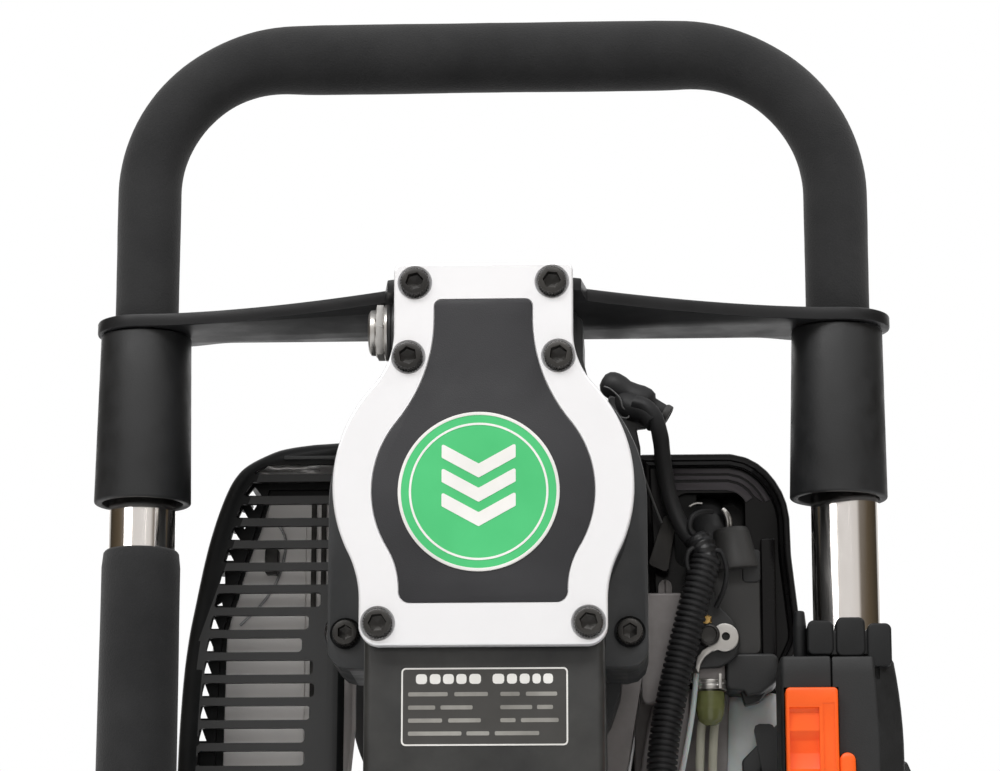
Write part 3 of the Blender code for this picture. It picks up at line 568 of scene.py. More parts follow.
CLIP = brushed_mat("clip_wire", (0.10, 0.10, 0.10), (0.16, 0.16, 0.16), 0.35, 0.5, (2, 2, 2), 0.1, 0.02, 0.6)
ORANGE = plastic_mat("orange_moulding", (0.92, 0.105, 0.008), (1.0, 0.135, 0.012), 0.34, 0.45, 1500, 0.02, 0.35)
LABEL_DARK = plastic_mat("label_dark", (0.040, 0.039, 0.036), (0.052, 0.050, 0.047), 0.28, 0.40, 2500, 0.01)
LABEL_LIGHT = plastic_mat("label_light", (0.70, 0.69, 0.66), (0.88, 0.87, 0.84), 0.35, 0.5, 2500, 0.01)
LABEL_FAINT = plastic_mat("label_faint", (0.16, 0.155, 0.14), (0.40, 0.39, 0.36), 0.35, 0.5, 900, 0.01)
GREEN = plastic_mat("badge_green", (0.055, 0.50, 0.165), (0.070, 0.565, 0.195), 0.34, 0.46, 2200, 0.015)
BADGE_WHITE = plastic_mat("badge_white", (0.80, 0.79, 0.76), (0.90, 0.89, 0.86), 0.34, 0.46, 2200, 0.015)
TAPE = plastic_mat("wire_tape", (0.008, 0.008, 0.0085), (0.016, 0.016, 0.017), 0.30, 0.50, 700, 0.05)
BRASS = brushed_mat("brass", (0.60, 0.38, 0.12), (0.78, 0.52, 0.20), 0.2, 0.35, (3, 3, 3), 0.1, 0.02)


def clear_mat(name, c0, c1, rough, trans, ior=1.45, sss=0.0):
    m = Mat(name)
    m.set(Roughness=rough, Transmission_Weight=trans, IOR=ior, Subsurface_Weight=sss, Subsurface_Scale=0.01)
    m.colour(m.noise(60, 3), c0, c1)
    return m.bump((m.noise(80, 2), 0.1, 0.2)).m


TANK = clear_mat("tank_plastic", (0.56, 0.58, 0.575), (0.68, 0.70, 0.695), 0.42, 0.0, 1.5, 0.35)
FUEL_LINE = clear_mat("fuel_line", (0.55, 0.54, 0.44), (0.66, 0.65, 0.54), 0.25, 0.35)
BULB = clear_mat("primer_rubber", (0.16, 0.17, 0.06), (0.30, 0.32, 0.13), 0.10, 0.35)

# ------------------------------------------------------------------- camera
cam_data = bpy.data.cameras.new("camera")
cam = bpy.data.objects.new("camera", cam_data)
bpy.context.collection.objects.link(cam)
cam_data.sensor_width = 36.0
cam_data.lens = 118.8
cam.location = place((55.5, -1250.0, 320.2))
look = place((3.1, 0.0, 604.4)) - cam.location
cam.rotation_euler = look.to_track_quat("-Z", "Y").to_euler()
cam_data.clip_start, cam_data.clip_end = 0.02, 50
bpy.context.scene.camera = cam

# ------------------------------------------------- floating frame, foam, tubes
TX = 135.5
BEND = 55.0
BEND_R = 59.0
TOP = 738.1
H = "handle_frame"


def handle_line(step=3.0):
    zc, right = TOP - BEND, TX - 0.9
    pts = [(-TX, 0, 611.5), (-TX, 0, zc)]
    pts += [(x, 0, z) for x, z in arc(-(TX - BEND), zc, BEND, 180, 90, 40)][1:]
    pts += [(x, 0, z) for x, z in arc(right - BEND_R, TOP - BEND_R, BEND_R, 90, 0, 40)]
    pts += [(right, 0, 611.5)]
    return even(pts, step)


def foam_radius(line):
    """Foam on the U: full on the legs, pinched in the bends, fat on the top bar."""
    total = sum((b - a).length for a, b in zip(line, line[1:]))
    leg = TOP - BEND - 611.5
    bend = pi / 2 * BEND

    def smooth(t):
        t = max(0.0, min(1.0, t))
        return t * t * (3 - 2 * t)

    def r(s, a):
        s = min(s, total - s)
        base = 12.35 + 0.12 * smooth((s - 20) / 30)
        pinch = -0.12 * smooth((s - leg + 10) / 24) * (1 - smooth((s - leg - bend + 14) / 30))
        top = 1.40 * smooth((s - leg - bend + 32) / 46)
        end = -1.2 * exp(-s / 1.2)
        v = noise.noise(Vector((s * 0.035, cos(a) * 0.7, sin(a) * 0.7))) * 0.16
        v += noise.noise(Vector((s * 0.16, cos(a) * 2.1, sin(a) * 2.1 + 9))) * 0.05
        return base + pinch + top + end + v
    return r


line = handle_line()
foam_u = tube("foam_u", FOAM, line, foam_radius(line), 56)
on(foam_u, H, "handle_foam")


def u_line():
    zc = TOP - BEND
    pts = [(-TX, 0, 570), (-TX, 0, zc)]
    pts += [(x, 0, z) for x, z in arc(-(TX - BEND), zc, BEND, 180, 90, 24)][1:]
    pts += [(x, 0, z) for x, z in arc(TX - BEND, zc, BEND, 90, 0, 24)]
    return even(pts + [(TX, 0, 570)], 6)


on(tube("u_tube", STAINLESS, u_line(), 9.9, 32), H, "handle_tube")


def foam_grip():
    segs, rows = 56, []
    zs = [300.0] + [300.0 + 1.2 * k for k in range(1, 4)] + [304 + 5.1 * k for k in range(46)]
    zs += [538.9, 539.6, 540.0]
    z0, z1 = zs[0], zs[-1]
    for z in zs:
        edge = min(z - z0, z1 - z)
        r = 15.15 - 1.6 * exp(-edge / 1.1) + 0.55 * (1 - (z - 300) / 240)
        row = []
        for k in range(segs):
            a = 2 * pi * k / segs
            v = noise.noise(Vector((z * 0.03, cos(a) * 0.8, sin(a) * 0.8))) * 0.16
            row.append(Vector((-TX + (r + v) * cos(a), (r + v) * sin(a), z)))
        rows.append(row)
    for z in (z1, z0):
        rows.append([Vector((-TX + 13.15 * cos(2 * pi * k / segs), 13.15 * sin(2 * pi * k / segs), z)) for k in range(segs)])
    return obj("foam_grip_left", ring_bm(rows, True), FOAM, 50, weld=False)


grip = foam_grip()
on(grip, H, "grip_foam")

for side, s in (("left", -1), ("right", 1)):
    on(turned(f"tube_{side}", STAINLESS, (s * TX, 0, 178), (0, 0, 1), soft_profile([
        (10.9, 0), (17.9, 0), (17.9, 11.5), (13.0, 11.5), (13.0, 98.4), (17.9, 98.4), (17.9, 105.8),
        (13.0, 105.8), (13.0, 431.8), (10.9, 431.8)], 0.5, 2, True), 72, True), H, f"side_tube_{side}")
    z0 = 558.3
    lean = (s * TX - (2.2 if s > 0 else 0), 0, z0)
    on(turned(f"sleeve_{side}_cover", SLEEVE, lean, (0.011 if s > 0 else 0, 0, 1), soft_profile([
        (15.6, 0, 0.6), (18.75, 0, 0.9), (17.55, 66.2, 0.5), (14.7, 66.2, 0.4)], 0.6, 3, True), 72, True),
        "machine", f"sleeve_{side}")
    # end caps pressed into the tubes
    on(turned(f"tube_plug_{side}", BLACK, (s * TX, 0, 176.6), (0, 0, 1), soft_profile([
        (0.01, 0), (9.5, 0), (10.7, 1.4), (10.7, 9.0), (0.01, 9.0)], 0.6, 3), 40), H)

    # coil springs, one closed end resting on the bracket and one on a collar
    for what, za, zb, turns in (("upper", 236.35, 275.95, 6.5), ("lower", 229.65, 190.05, 6.5)):
        wire, rc, n = 1.55, 15.75, 22
        span = abs(zb - za) - 2 * wire
        up = 1 if zb > za else -1
        pts = []
        steps = int(turns * n)
        for k in range(steps + 1):
            t = k / steps
            # flat end coils, even pitch between
            q = 0.0 if t < 0.10 else 1.0 if t > 0.90 else (t - 0.10) / 0.80
            g = 0.055 * (t / 0.10 if t < 0.10 else 1) + 0.89 * q + 0.055 * ((t - 0.90) / 0.10 if t > 0.90 else 0)
            a = 2 * pi * k / n
            pts.append((s * TX + rc * cos(a), rc * sin(a), za + up * (wire + span * g)))
        sp = tube(f"coil_{what}_{side}", SPRINGM, pts, wire, 10, True, 60)
        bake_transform(sp)
        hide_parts(f"spring_{what}_{side}")


def hexr(af, spin=0.0):
    """Radius of a hexagon of the given width across flats."""
    return lambda a: af / 2 / cos((a + spin) % (pi / 3) - pi / 6)


def gon(n, r, depth):
    """A wavy rim: n ridges of the given depth below r."""
    return lambda a: r - depth * (0.5 - 0.5 * cos(n * a))


def rod(name, mats, at, axis, r, length, segs=32, soft=0.3):
    return turned(name, mats, at, axis, soft_profile([(0.01, 0), (r, 0, soft), (r, length, soft), (0.01, length)], soft, 3),
                  segs)


# --------------------------------------------------- gearbox, cover and badge
CY = -73.0
FLANGE_X = 59.7
cover_line = bottle(33.0, 45.0, 55.0, 551.0, 634.3, 492.1, 30, 40, 3, 7.5, 48, 14)
panel_line = bottle(18.0, 30.5, 40.6, 549.0, 620.4, 507.8, 62, 30, 2.6, 4, 40, 16)
pocket_line = offset(panel_line, -0.35)
SCREWS = [(s * x, z) for x, z in ((25.3, 627.0), (27.6, 598.9), (38.1, 500.2)) for s in (-1, 1)]

cover = shell("cover_plate", ALUMINIUM, cover_line, [(0.4, -68.0), (0.0, -68.4), (0.0, -72.3), (0.25, -72.8), (0.75, -73.0)])
tools = [prism("t", ALUMINIUM, pocket_line, "y", -76, -71.7)]
for x, z in SCREWS:
    tools.append(turned("t", ALUMINIUM, (x, CY, z), (0, 1, 0), [(6.4, -2), (6.4, 0), (5.75, 0.55), (5.75, 3), (3.3, 3), (3.3, 8)], 56))
boolean(cover, tools)
cover.data.set_sharp_from_angle(angle=radians(9))
on(cover, "machine", "front_cover")
on(shell("cover_inlay", PANEL, panel_line, [(0.3, -71.8), (0.0, -72.1), (0.0, -72.95), (0.45, -73.2)]),
   "machine", "cover_panel")

for i, (x, z) in enumerate(SCREWS, 1):
    s = turned(f"cap_screw_{i}", OXIDE, (x, -70.3, z), (0, -1, 0), [
        (3.0, -2.2), (3.0, 0), (4.7, 0), (gon(30, 5.25, 0.32), 0.35), (gon(30, 5.25, 0.32), 4.7), (4.75, 5.35), (4.45, 5.5),
        (hexr(6.0, 0.3 * i), 5.5), (hexr(5.7, 0.3 * i), 5.2), (hexr(5.4, 0.3 * i), 2.4), (0.6, 1.5)], 180, smooth=28)
    on(s, "machine", f"cover_screw_{i}")

# a generic badge: a white ring round a coloured face with three driving arrows
BX_, BZ_ = -1.6, 548.4
badge = [turned("badge_rim", LABEL_LIGHT, (BX_, -73.15, BZ_), (0, -1, 0),
                soft_profile([(0.01, 0), (29.5, 0), (29.5, 0.55, 0.25), (28.3, 0.6, 0.1), (28.3, 0.25), (0.01, 0.25)], 0.1, 3), 128)]
badge.append(turned("badge_face", GREEN, (BX_, -73.15, BZ_), (0, -1, 0), [(0.01, 0), (28.4, 0), (28.4, 0.42), (0.01, 0.42)], 128))
for k, (w, dz) in enumerate(((13.5, 9.5), (13.5, 0.5), (13.5, -8.5))):
    t = 5.2
    zc = BZ_ + dz + 3
    line_ = [(BX_ - w, zc + t), (BX_ - w, zc), (BX_, zc - 7.5), (BX_ + w, zc), (BX_ + w, zc + t), (BX_, zc - 7.5 + t)]
    badge.append(prism("badge_arrow", BADGE_WHITE, soft_profile(line_, 0.6, 3, True), "y", -73.75, -73.4))
badge.append(turned("badge_inner_ring", BADGE_WHITE, (BX_, -73.4, BZ_), (0, -1, 0),
                    [(24.6, 0), (25.4, 0), (25.4, 0.33), (24.6, 0.33)], 128, True))
on(merge("cover_badge", badge), "machine")

# front half of the gearbox, with the tall block that takes the barrel
nose_line = bottle(32.0, 44.0, 54.0, 551.0, 624.7, 492.1, 31, 41, 3, 6, 44, 12)
cavity_line = bottle(26.0, 38.0, 48.0, 551.0, 610.0, 503.0, 37, 47, 3, 6, 32, 8)
BH = 43.7
flange_line = ([(-FLANGE_X, 500)] + arc(-FLANGE_X + 8, 489 + 8, 8, 180, 270, 10)[1:]
               + [(-BH, 489), (-BH, 430.3), (BH, 430.3), (BH, 489)]
               + arc(FLANGE_X - 8, 489 + 8, 8, -90, 0, 10) + [(FLANGE_X, 551)]
               + arc(0, 551, FLANGE_X, 0, 50, 28)[1:] + [(36, 606), (36, 621), (33, 624.6), (-33, 624.6), (-36, 621), (-36, 606)]
               + arc(0, 551, FLANGE_X, 130, 180, 28))
flange_top = ([(-FLANGE_X, 500)] + arc(-FLANGE_X + 8, 489 + 8, 8, 180, 270, 10)[1:]
              + arc(FLANGE_X - 8, 489 + 8, 8, -90, 0, 10) + [(FLANGE_X, 551)]
              + arc(0, 551, FLANGE_X, 0, 50, 28)[1:] + [(36, 606), (36, 621), (33, 624.6), (-33, 624.6), (-36, 621), (-36, 606)]
              + arc(0, 551, FLANGE_X, 130, 180, 28))
flange = shell("flange", CAST, flange_top, [(0.2, -30.4), (0.0, -30.6), (0.0, -36.0), (0.3, -36.7), (1.0, -37.0)])
nose = shell("nose", CAST, nose_line, [(0.0, -34.0), (0.15, -66.9), (0.5, -67.45), (1.1, -67.7)])
boolean(flange, [nose], "UNION")
cuts = [prism("t", CAST, cavity_line, "y", -90, -20)]
for s in (-1, 1):
    cuts.append(turned("t", CAST, (s * 52.8, -37, 502), (0, 1, 0), [(5.9, -10), (5.9, 0.2), (5.3, 1.0), (5.3, 1.8), (0.01, 1.8)], 48))
boolean(flange, cuts)
on(bevel(flange, 0.45, 2, 50), "machine", "gearbox_front")

block = box("barrel_block", BLOCK, (-BH, BH), (-66.0, -30.4), (430.0, 500.0), 3.2, "z", 0.9, 8)
block_cut = [turned("t", BLOCK, (0, -26, 425), (0, 0, 1), [(0.01, 0), (26.5, 0), (26.5, 90), (0.01, 90)], 64),
             box("t", BLOCK, (-38, 38), (-56, -20), (504, 512))]
boolean(block, block_cut[:1])
bpy.data.objects.remove(block_cut[1], do_unlink=True)
on(block, "machine", "gearbox_front")
# two dowel bosses that cast blocks of this kind have on their sides
for s in (-1, 1):
    on(rod(f"block_boss_{'left' if s < 0 else 'right'}", BLOCK, (s * BH, -48, 444), (s, 0, 0), 5.2, 1.6, 40, 0.5), "machine")

# flange screws
for s in (-1, 1):
    on(turned(f"flange_screw_{'left' if s < 0 else 'right'}", OXIDE, (s * 52.8, -35.6, 502), (0, -1, 0), [
        (2.6, -2), (2.6, 0), (4.4, 0), (gon(28, 4.9, 0.3), 0.3), (gon(28, 4.9, 0.3), 4.2), (4.4, 4.85), (4.1, 5.0),
        (hexr(5.2), 5.0), (hexr(4.9), 4.7), (hexr(4.7), 2.2), (0.5, 1.5)], 168, smooth=28), "machine")

# rating plate: a pale rim, a dark face, one thick bar and four faint rows, no lettering
PX0, PX1, PZ0, PZ1 = -29.8, 30.4, 456.7, 484.9
plate = [prism("p", LABEL_LIGHT, soft_profile([(PX0, PZ0), (PX1, PZ0), (PX1, PZ1), (PX0, PZ1)], 1.6, 5, True), "y", -66.25, -66.0),
         prism("p", LABEL_DARK, soft_profile([(PX0 + .6, PZ0 + .6), (PX1 - .6, PZ0 + .6), (PX1 - .6, PZ1 - .6), (PX0 + .6, PZ1 - .6)],
                                             1.1, 5, True), "y", -66.33, -66.1)]


def bars(z, h, spans, mat):
    for a, b in spans:
        plate.append(prism("p", mat, soft_profile([(a, z - h / 2), (b, z - h / 2), (b, z + h / 2), (a, z + h / 2)], h * 0.3, 2, True),
                           "y", -66.40, -66.3))


bars(480.8, 3.6, [(-24.5, -20.5), (-19.5, -15.6), (-14.7, -10.8), (-9.9, -6.2), (-5.2, -1.0), (3.2, 7.4), (8.4, 12.0),
                  (13.0, 16.6), (17.6, 20.6), (21.5, 25.0)], LABEL_LIGHT)
bars(475.3, 1.5, [(-27.3, -13.0), (-10.6, 1.5), (6.0, 13.0), (15.2, 26.5)], LABEL_FAINT)
bars(470.5, 1.5, [(-27.3, -17.5), (-15.6, -4.0), (6.0, 17.5), (19.2, 25.0)], LABEL_FAINT)
bars(465.8, 1.5, [(-27.3, -15.0), (-12.8, -1.0), (6.0, 11.5), (13.4, 27.0)], LABEL_FAINT)
bars(461.1, 1.5, [(-27.3, -8.0), (-6.2, 2.0), (4.0, 20.0)], LABEL_FAINT)
on(merge("rating_plate", plate), "machine")

# filler plug on the gearbox neck
plug = [turned("plug_boss", CAST, (-33.3, -50, 613.6), (-1, 0, 0), soft_profile([(0.01, 0), (12.0, 0), (11.5, 1.6, 0.4), (0.01, 1.6)], 0.3, 3), 64),
        turned("plug_seal", RUBBER, (-34.9, -50, 613.6), (-1, 0, 0), soft_profile([(0.01, 0), (11.0, 0, .4), (11.0, 1.4, .4), (0.01, 1.4)], 0.4, 3), 64),
        turned("plug_hex", ZINC, (-36.3, -50, 613.6), (-1, 0, 0), [
            (0.01, 0), (10.3, 0), (10.6, 0.3), (10.6, 1.2), (10.2, 1.5), (hexr(18.6), 1.6), (hexr(18.9), 2.0), (hexr(18.9), 4.3),
            (9.2, 4.8), (0.01, 4.8)], 144, smooth=26),
        turned("plug_end", ZINC, (-41.1, -50, 613.6), (-1, 0, 0), soft_profile([
            (0.01, 0), (8.6, 0, .3), (8.6, 1.9, .7), (7.2, 2.8, .4), (6.2, 2.3, .3), (0.01, 2.1)], 0.4, 3), 72)]
on(merge("filler_plug", plug), "machine", "oil_plug")


# ---------------------------------------------------------------- brackets
def bracket_line(front_mid, front_neck, neck_x, back, end_r=19.0):
    right = [(neck_x - 3, -front_mid), (neck_x, -front_mid + 1.2), (neck_x + 2, -front_neck)]
    x0, y0, x1, y1 = neck_x + 2, -front_neck, TX - 6, -end_r
    for k in range(1, 30):
        t = k / 30
        right.append((x0 + (x1 - x0) * t, y1 + (y0 - y1) * (1 - t) ** 1.6))
    right += arc(TX, 0, end_r, -90, 90, 32)
    if back > end_r:
        right += [(TX - 30, end_r), (60, back), (40, back)]
    else:
        right += [(TX - 10, 17.4)] + [(TX - 12 - k, back + (17.0 - back) * (0.5 + 0.5 * cos(pi * k / 22))) for k in range(0, 23, 2)]
    return right + [(-x, y) for x, y in reversed(right)]


def holed(name, mats, outline, z, holes, edge=0.7):
    ob = shell(name, mats, outline, [(edge, z[0]), (edge * .3, z[0] + edge * .3), (0, z[0] + edge), (0, z[1] - edge),
                                     (edge * .3, z[1] - edge * .3), (edge, z[1])], "z")
    cut = [turned("t", mats, (x, y, z[0]), (0, 0, 1), [(0.01, -3), (r + .5, -3), (r + .5, 0), (r, .5), (r, z[1] - z[0] - .5),
                                                       (r + .5, z[1] - z[0]), (r + .5, 12), (0.01, 12)], 72) for x, y, r in holes]
    return boolean(ob, cut)


on(holed("top_plate", PLATE, bracket_line(67.4, 50.4, 36, 11), (625.0, 630.0), [(-TX, 0, 14.3), (TX, 0, 14.3)]),
   "machine", "upper_bracket")
on(holed("bottom_plate", PLATE, bracket_line(78, 60, 34, 26), (230.0, 236.0), [(-TX, 0, 13.7), (TX, 0, 13.7), (0, -26, 41.3)]),
   "machine", "lower_bracket")
# bolts that hold the top plate down on the gearbox, and the washers of the lower plate
for i, (x, y) in enumerate(((-24, -52), (24, -52), (-24, -8), (24, -8))):
    on(turned(f"plate_bolt_{i}", ZINC, (x, y, 630.0), (0, 0, 1), [
        (8.2, 0), (8.2, 1.2), (7.6, 1.5), (hexr(12.6), 1.5), (hexr(13), 2.0), (hexr(13), 6.4), (5.6, 7.2), (0.01, 7.2)], 120, smooth=26),
        "machine")
for i, a in enumerate((35, 145, 215, 325)):
    x, y = 45.5 * cos(radians(a)), -26 + 45.5 * sin(radians(a))
    on(turned(f"collar_bolt_{i}", ZINC, (x, y, 236.0), (0, 0, 1), [
        (4.4, 0), (4.4, 0.9), (hexr(7.6), 0.9), (hexr(7.8), 1.3), (hexr(7.8), 4.4), (3.4, 5.0), (0.01, 5.0)], 96, smooth=26),
        "machine")

# ------------------------------------------------------- barrel and drive cup
on(turned("barrel_shell", PLATE, (0, -26, 130.3), (0, 0, 1), soft_profile([
    (26.2, 0), (50, 0), (50, 11.7), (44, 11.7, 2.5), (41, 16, 3), (41, 93), (41, 99.0), (41, 112), (41, 262),
    (44, 275, 4), (52, 282), (52, 299.4), (25.4, 299.4), (25.4, 46), (33, 46), (33, 19.4), (26.2, 19.4)], 0.8, 4, True), 96, True),
    "machine", "cylinder_barrel")
# clamp bolts through the barrel's upper flange and the cup's ring
for i in range(6):
    a = radians(30 + 60 * i)
    x, y = 46.2 * cos(a), -26 + 46.2 * sin(a)
    on(turned(f"ring_bolt_{i}", OXIDE, (x, y, 142.0), (0, 0, 1), [
        (3.4, 0), (gon(24, 3.9, .25), 0.3), (gon(24, 3.9, .25), 3.7), (3.4, 4.2), (hexr(4.4), 4.2), (hexr(4.2), 2.0), (0.4, 1.5)],
        120, smooth=28), "machine")
on(turned("drive_cup_shell", PLATE, (0, -26, 0), (0, 0, 1), soft_profile([
    (51.5, 0, .5), (55.6, 0, 1.0), (57, 1.8, 1.0), (57, 8, .3), (56.3, 9.2, .4), (56.3, 103, .5), (57, 104.5, .5), (57, 112, 2.5),
    (47.4, 129.2, 1.5), (46.6, 130, .4), (26, 130, .4), (26, 118, .4), (50, 118, 2.0), (50, 2.4, .5)], 0.6, 4, True), 112, True),
    "machine", "drive_cup")
for i in range(2):
    on(turned(f"cup_weld_{i}", PLATE, (0, -26, 128.6 + 0.9 * i), (0, 0, 1),
              [(46.6, -1.0), (lambda a: 48.4 + 0.35 * sin(a * 34), 0.0), (46.6, 0.9)], 160), "machine")

# ------------------------------------------------------------ throttle grip
SEAM = 127.6


def half(name, outline, zs, squeeze):
    """A grip half: its outline run up the tube, drawn in towards the seam by squeeze(z)."""
    loops = []
    for inset, z in zs:
        k = squeeze(z)
        loops.append([Vector((SEAM + (x - SEAM) * k, y * (0.5 + 0.5 * k), z)) for x, y in outline(inset)])
    return obj(name, ring_bm(loops), GRIPCASE, 30, weld=False)


zs = [(1.6, 372.0), (0.5, 372.5), (0, 373.6)] + [(0, 376 + 6.2 * k) for k in range(19)] + [(0, 493.2), (0.4, 494.1), (1.3, 494.5)]
right_line = poly([(SEAM + 0.2, -25, 0.6), (144.6, -25.4, 1.6), (154.6, -15.5, 5), (156.0, 20, 10), (SEAM + 0.2, 30, 0.6)], 1, 10)
left_line = poly([(108.6, -24, 2.2), (SEAM - 0.2, -25, 0.6), (SEAM - 0.2, 30, 0.6), (108.6, 24, 10)], 1, 10)


def bulge(z):
    t = max(0.0, min(1.0, (z - 458) / 36))
    low = max(0.0, min(1.0, (430 - z) / 55))
    return 1.0 - 0.115 * t * t - 0.10 * low * low


outer = half("grip_half_outer", right_line, zs, bulge)
inner = half("grip_half_inner", left_line, zs, lambda z: 1.0 - 0.04 * max(0.0, (420 - z) / 48) ** 2)
tube_cut = lambda: turned("t", GRIPCASE, (TX, 0, 365), (0, 0, 1), [(0.01, 0), (13.25, 0), (13.25, 140), (0.01, 140)], 64)
boolean(outer, [tube_cut(),
                box("t", GRIPCASE, (SEAM - 1, 130.1), (-32, -18.5), (439.5, 482.7), 0.01, "y"),
                prism("t", GRIPCASE, arc(132.7, 455.0, 3.35, 0, 180, 14) + arc(132.7, 450.4, 3.35, 180, 360, 14), "y", -36, -16),
                box("t", GRIPCASE, (146.4, 166), (-7.5, 7.5), (391.5, 458.5), 1.5, "y"),
                prism("t", GRIPCASE, arc(144.8, 490.0, 0.95, 0, 180, 10) + arc(144.8, 486.6, 0.95, 180, 360, 10), "y", -30, -19.5)])
boolean(inner, [tube_cut(),
                box("t", GRIPCASE, (109.75, SEAM + 1), (-32, -18.5), (439.5, 482.7), 0.01, "y"),
                box("t", GRIPCASE, (100, 118), (-6.5, 6.5), (374.5, 447.5), 1.5, "y")])
on(outer, H, "throttle_case_outer")
on(inner, H, "throttle_case_inner")

# three blocks of the clamp round the tube, and the boss beside them
blocks = []
for i, (x0, x1, z0, z1, y1) in enumerate(((119.1, 128.8, 495.0, 508.1, 18), (129.75, 140.6, 494.6, 509.2, 20), (141.4, 150.4, 490.5, 506.9, 17))):
    b = box(f"clamp_block_{i}", CLAMPM, (x0, x1), (-23.0, y1), (z0, z1), 2.4, "y", 0.9, 8)
    blocks.append(boolean(b, [tube_cut()]))
blocks.append(box("clamp_core", BLACK, (121, 149), (-20.5, 15), (495.2, 504.5), 3, "z", 0.6, 8))
boolean(blocks[-1], [tube_cut()])
blocks.append(turned("clamp_boss", CLAMPM, (116.6, -15, 494.3), (0, 0, 1), soft_profile([
    (0.01, 0), (2.5, 0, .3), (2.5, 12.5, .2), (1.9, 18.3, .9), (0.01, 18.6)], 0.5, 4), 40))
on(merge("throttle_clamp_blocks", blocks), H, "throttle_clamp")
# screws in the outer half
for i, (x, z) in enumerate(((140.0, 412.0), (141.0, 384.0))):
    on(turned(f"case_screw_{i}", OXIDE, (x, -22.4, z), (0, -1, 0), [
        (2.4, 0), (2.4, 0.5), (2.1, 0.8), (hexr(2.2), 0.8), (hexr(2.0), -0.4), (0.3, -0.6)], 96, smooth=28), H)


def rocker():
    """The stop switch: a tall orange cap with a raised lip and a thumb hollow."""
    x0, x1, z0, z1 = 110.2, 129.6, 445.0, 482.1
    ob = shell("stop_switch_cap", ORANGE, soft_profile([(x0, z0), (x1, z0), (x1, z1), (x0, z1)], 1.7, 6, True),
               [(0.0, -19.0), (0.0, -28.6), (0.2, -29.2), (0.75, -29.5)])
    # hollow: a shallow slope down from the lip, then a steep wall
    prof = [(-34, 475.5), (-28.2, 474.4), (-27.4, 473.0), (-28.6, 466.0), (-26.0, 462.6), (-25.4, 458.0), (-26.9, 452.0), (-29.6, 449.4), (-34, 448)]
    dish = prism("t", ORANGE, soft_profile(prof, 0.5, 4, True), "x", 111.5, 122.5)
    step = prism("t", ORANGE, soft_profile([(-34, 476.5), (-29.25, 476.2), (-29.0, 470), (-29.0, 449), (-34, 446)], 0.4, 3, True), "x", 124.0, 128.2)
    boolean(ob, [dish, step])
    return bevel(ob, 0.28, 2, 35)


on(rocker(), "switch", "stop_switch")
button_line = lambda d: arc(132.7, 455.0, 3.0 - d, 0, 180, 14) + arc(132.7, 450.4, 3.0 - d, 180, 360, 14)
on(shell("lock_button_cap", ORANGE, button_line, [(0.3, -19.6), (0.0, -19.9), (0.0, -27.4), (0.2, -28.1), (0.8, -28.5), (1.8, -28.7)]),
   "button", "lock_button")


def smooth_prism(name, mats, outline, axis, lo, hi, edge=1.2):
    """A slab with generously rounded rims."""
    steps = [(edge * (1 - cos(radians(t))), 0) for t in ()]
    steps = []
    for t in (0, 22, 45, 67, 90):
        steps.append((edge * (1 - sin(radians(t))), lo + edge * (1 - cos(radians(t)))))
    for t in (90, 67, 45, 22, 0):
        steps.append((edge * (1 - sin(radians(t))), hi - edge * (1 - cos(radians(t)))))
    return shell(name, mats, outline, steps, axis, smooth=40)


trig = poly([(109.0, 445, 1.5), (115.5, 445, 2), (116.0, 436, 1.5), (110.0, 430, 2), (104.5, 410, 6), (104.0, 392, 4),
                     (100.5, 379, 1.5), (95.5, 381, 1.5), (95.0, 396, 8), (100.0, 415, 10), (105.5, 436, 5)], 2, 8)
on(smooth_prism("trigger_blade", BLACK, trig, "y", -5.0, 5.0, 1.3), "trigger", "throttle_trigger")
lock = poly([(150.5, 456.5), (156, 457.5, 2), (160, 448, 6), (162.5, 420, 9), (161.0, 400, 2), (158.0, 395, 1.5),
             (157.0, 402), (156.0, 440), (150.5, 448)], 1.2, 8)
on(smooth_prism("lockout_blade", BLACK, lock, "y", -6.0, 6.0, 1.2), "lockout", "lockout_lever")

# ------------------------------------------------------------ muffler side
GUARD = [(-59, 593), (-74, 592.1), (-83, 590.9), (-90, 589.1), (-99.4, 584.6), (-104.6, 580.2), (-108.8, 573.2), (-113.3, 560.8), (-117.1, 546.6),
         (-120.6, 528.8), (-123.5, 512.4), (-125.5, 492.4), (-126.8, 462), (-126.5, 430), (-121, 405), (-110, 394), (-60, 392)]
gline = [(p.x, p.z) for p in catmull([(x, 0, z) for x, z in GUARD[1:-1]], 8)]
gline = [(-59, 593)] + gline + [(-60, 392)]
room = offset(gline, 3.0)
room[0], room[-1] = (-50, 588.6), (-50, 395.4)
guard = shell("guard_shell", [GUARD_BLACK_AND_SHADE, GUARD_LIT_FACE], gline, [(8.0, 45.0), (5.6, 45.2), (3.6, 45.8), (2.0, 46.8), (0.8, 48.3), (0.2, 50.0), (0.0, 52.0),
                                                         (0.0, 99.2), (0.6, 100.0)])
cuts = [prism("t", BLACK, room, "y", 47.9, 112)]


def outline_x(z):
    for a, b in zip(gline, gline[1:]):
        if min(a[1], b[1]) <= z <= max(a[1], b[1]) and a[0] < -80:
            return a[0] + (b[0] - a[0]) * (z - a[1]) / (b[1] - a[1] if abs(b[1] - a[1]) > 1e-6 else 1)
    return -128.0


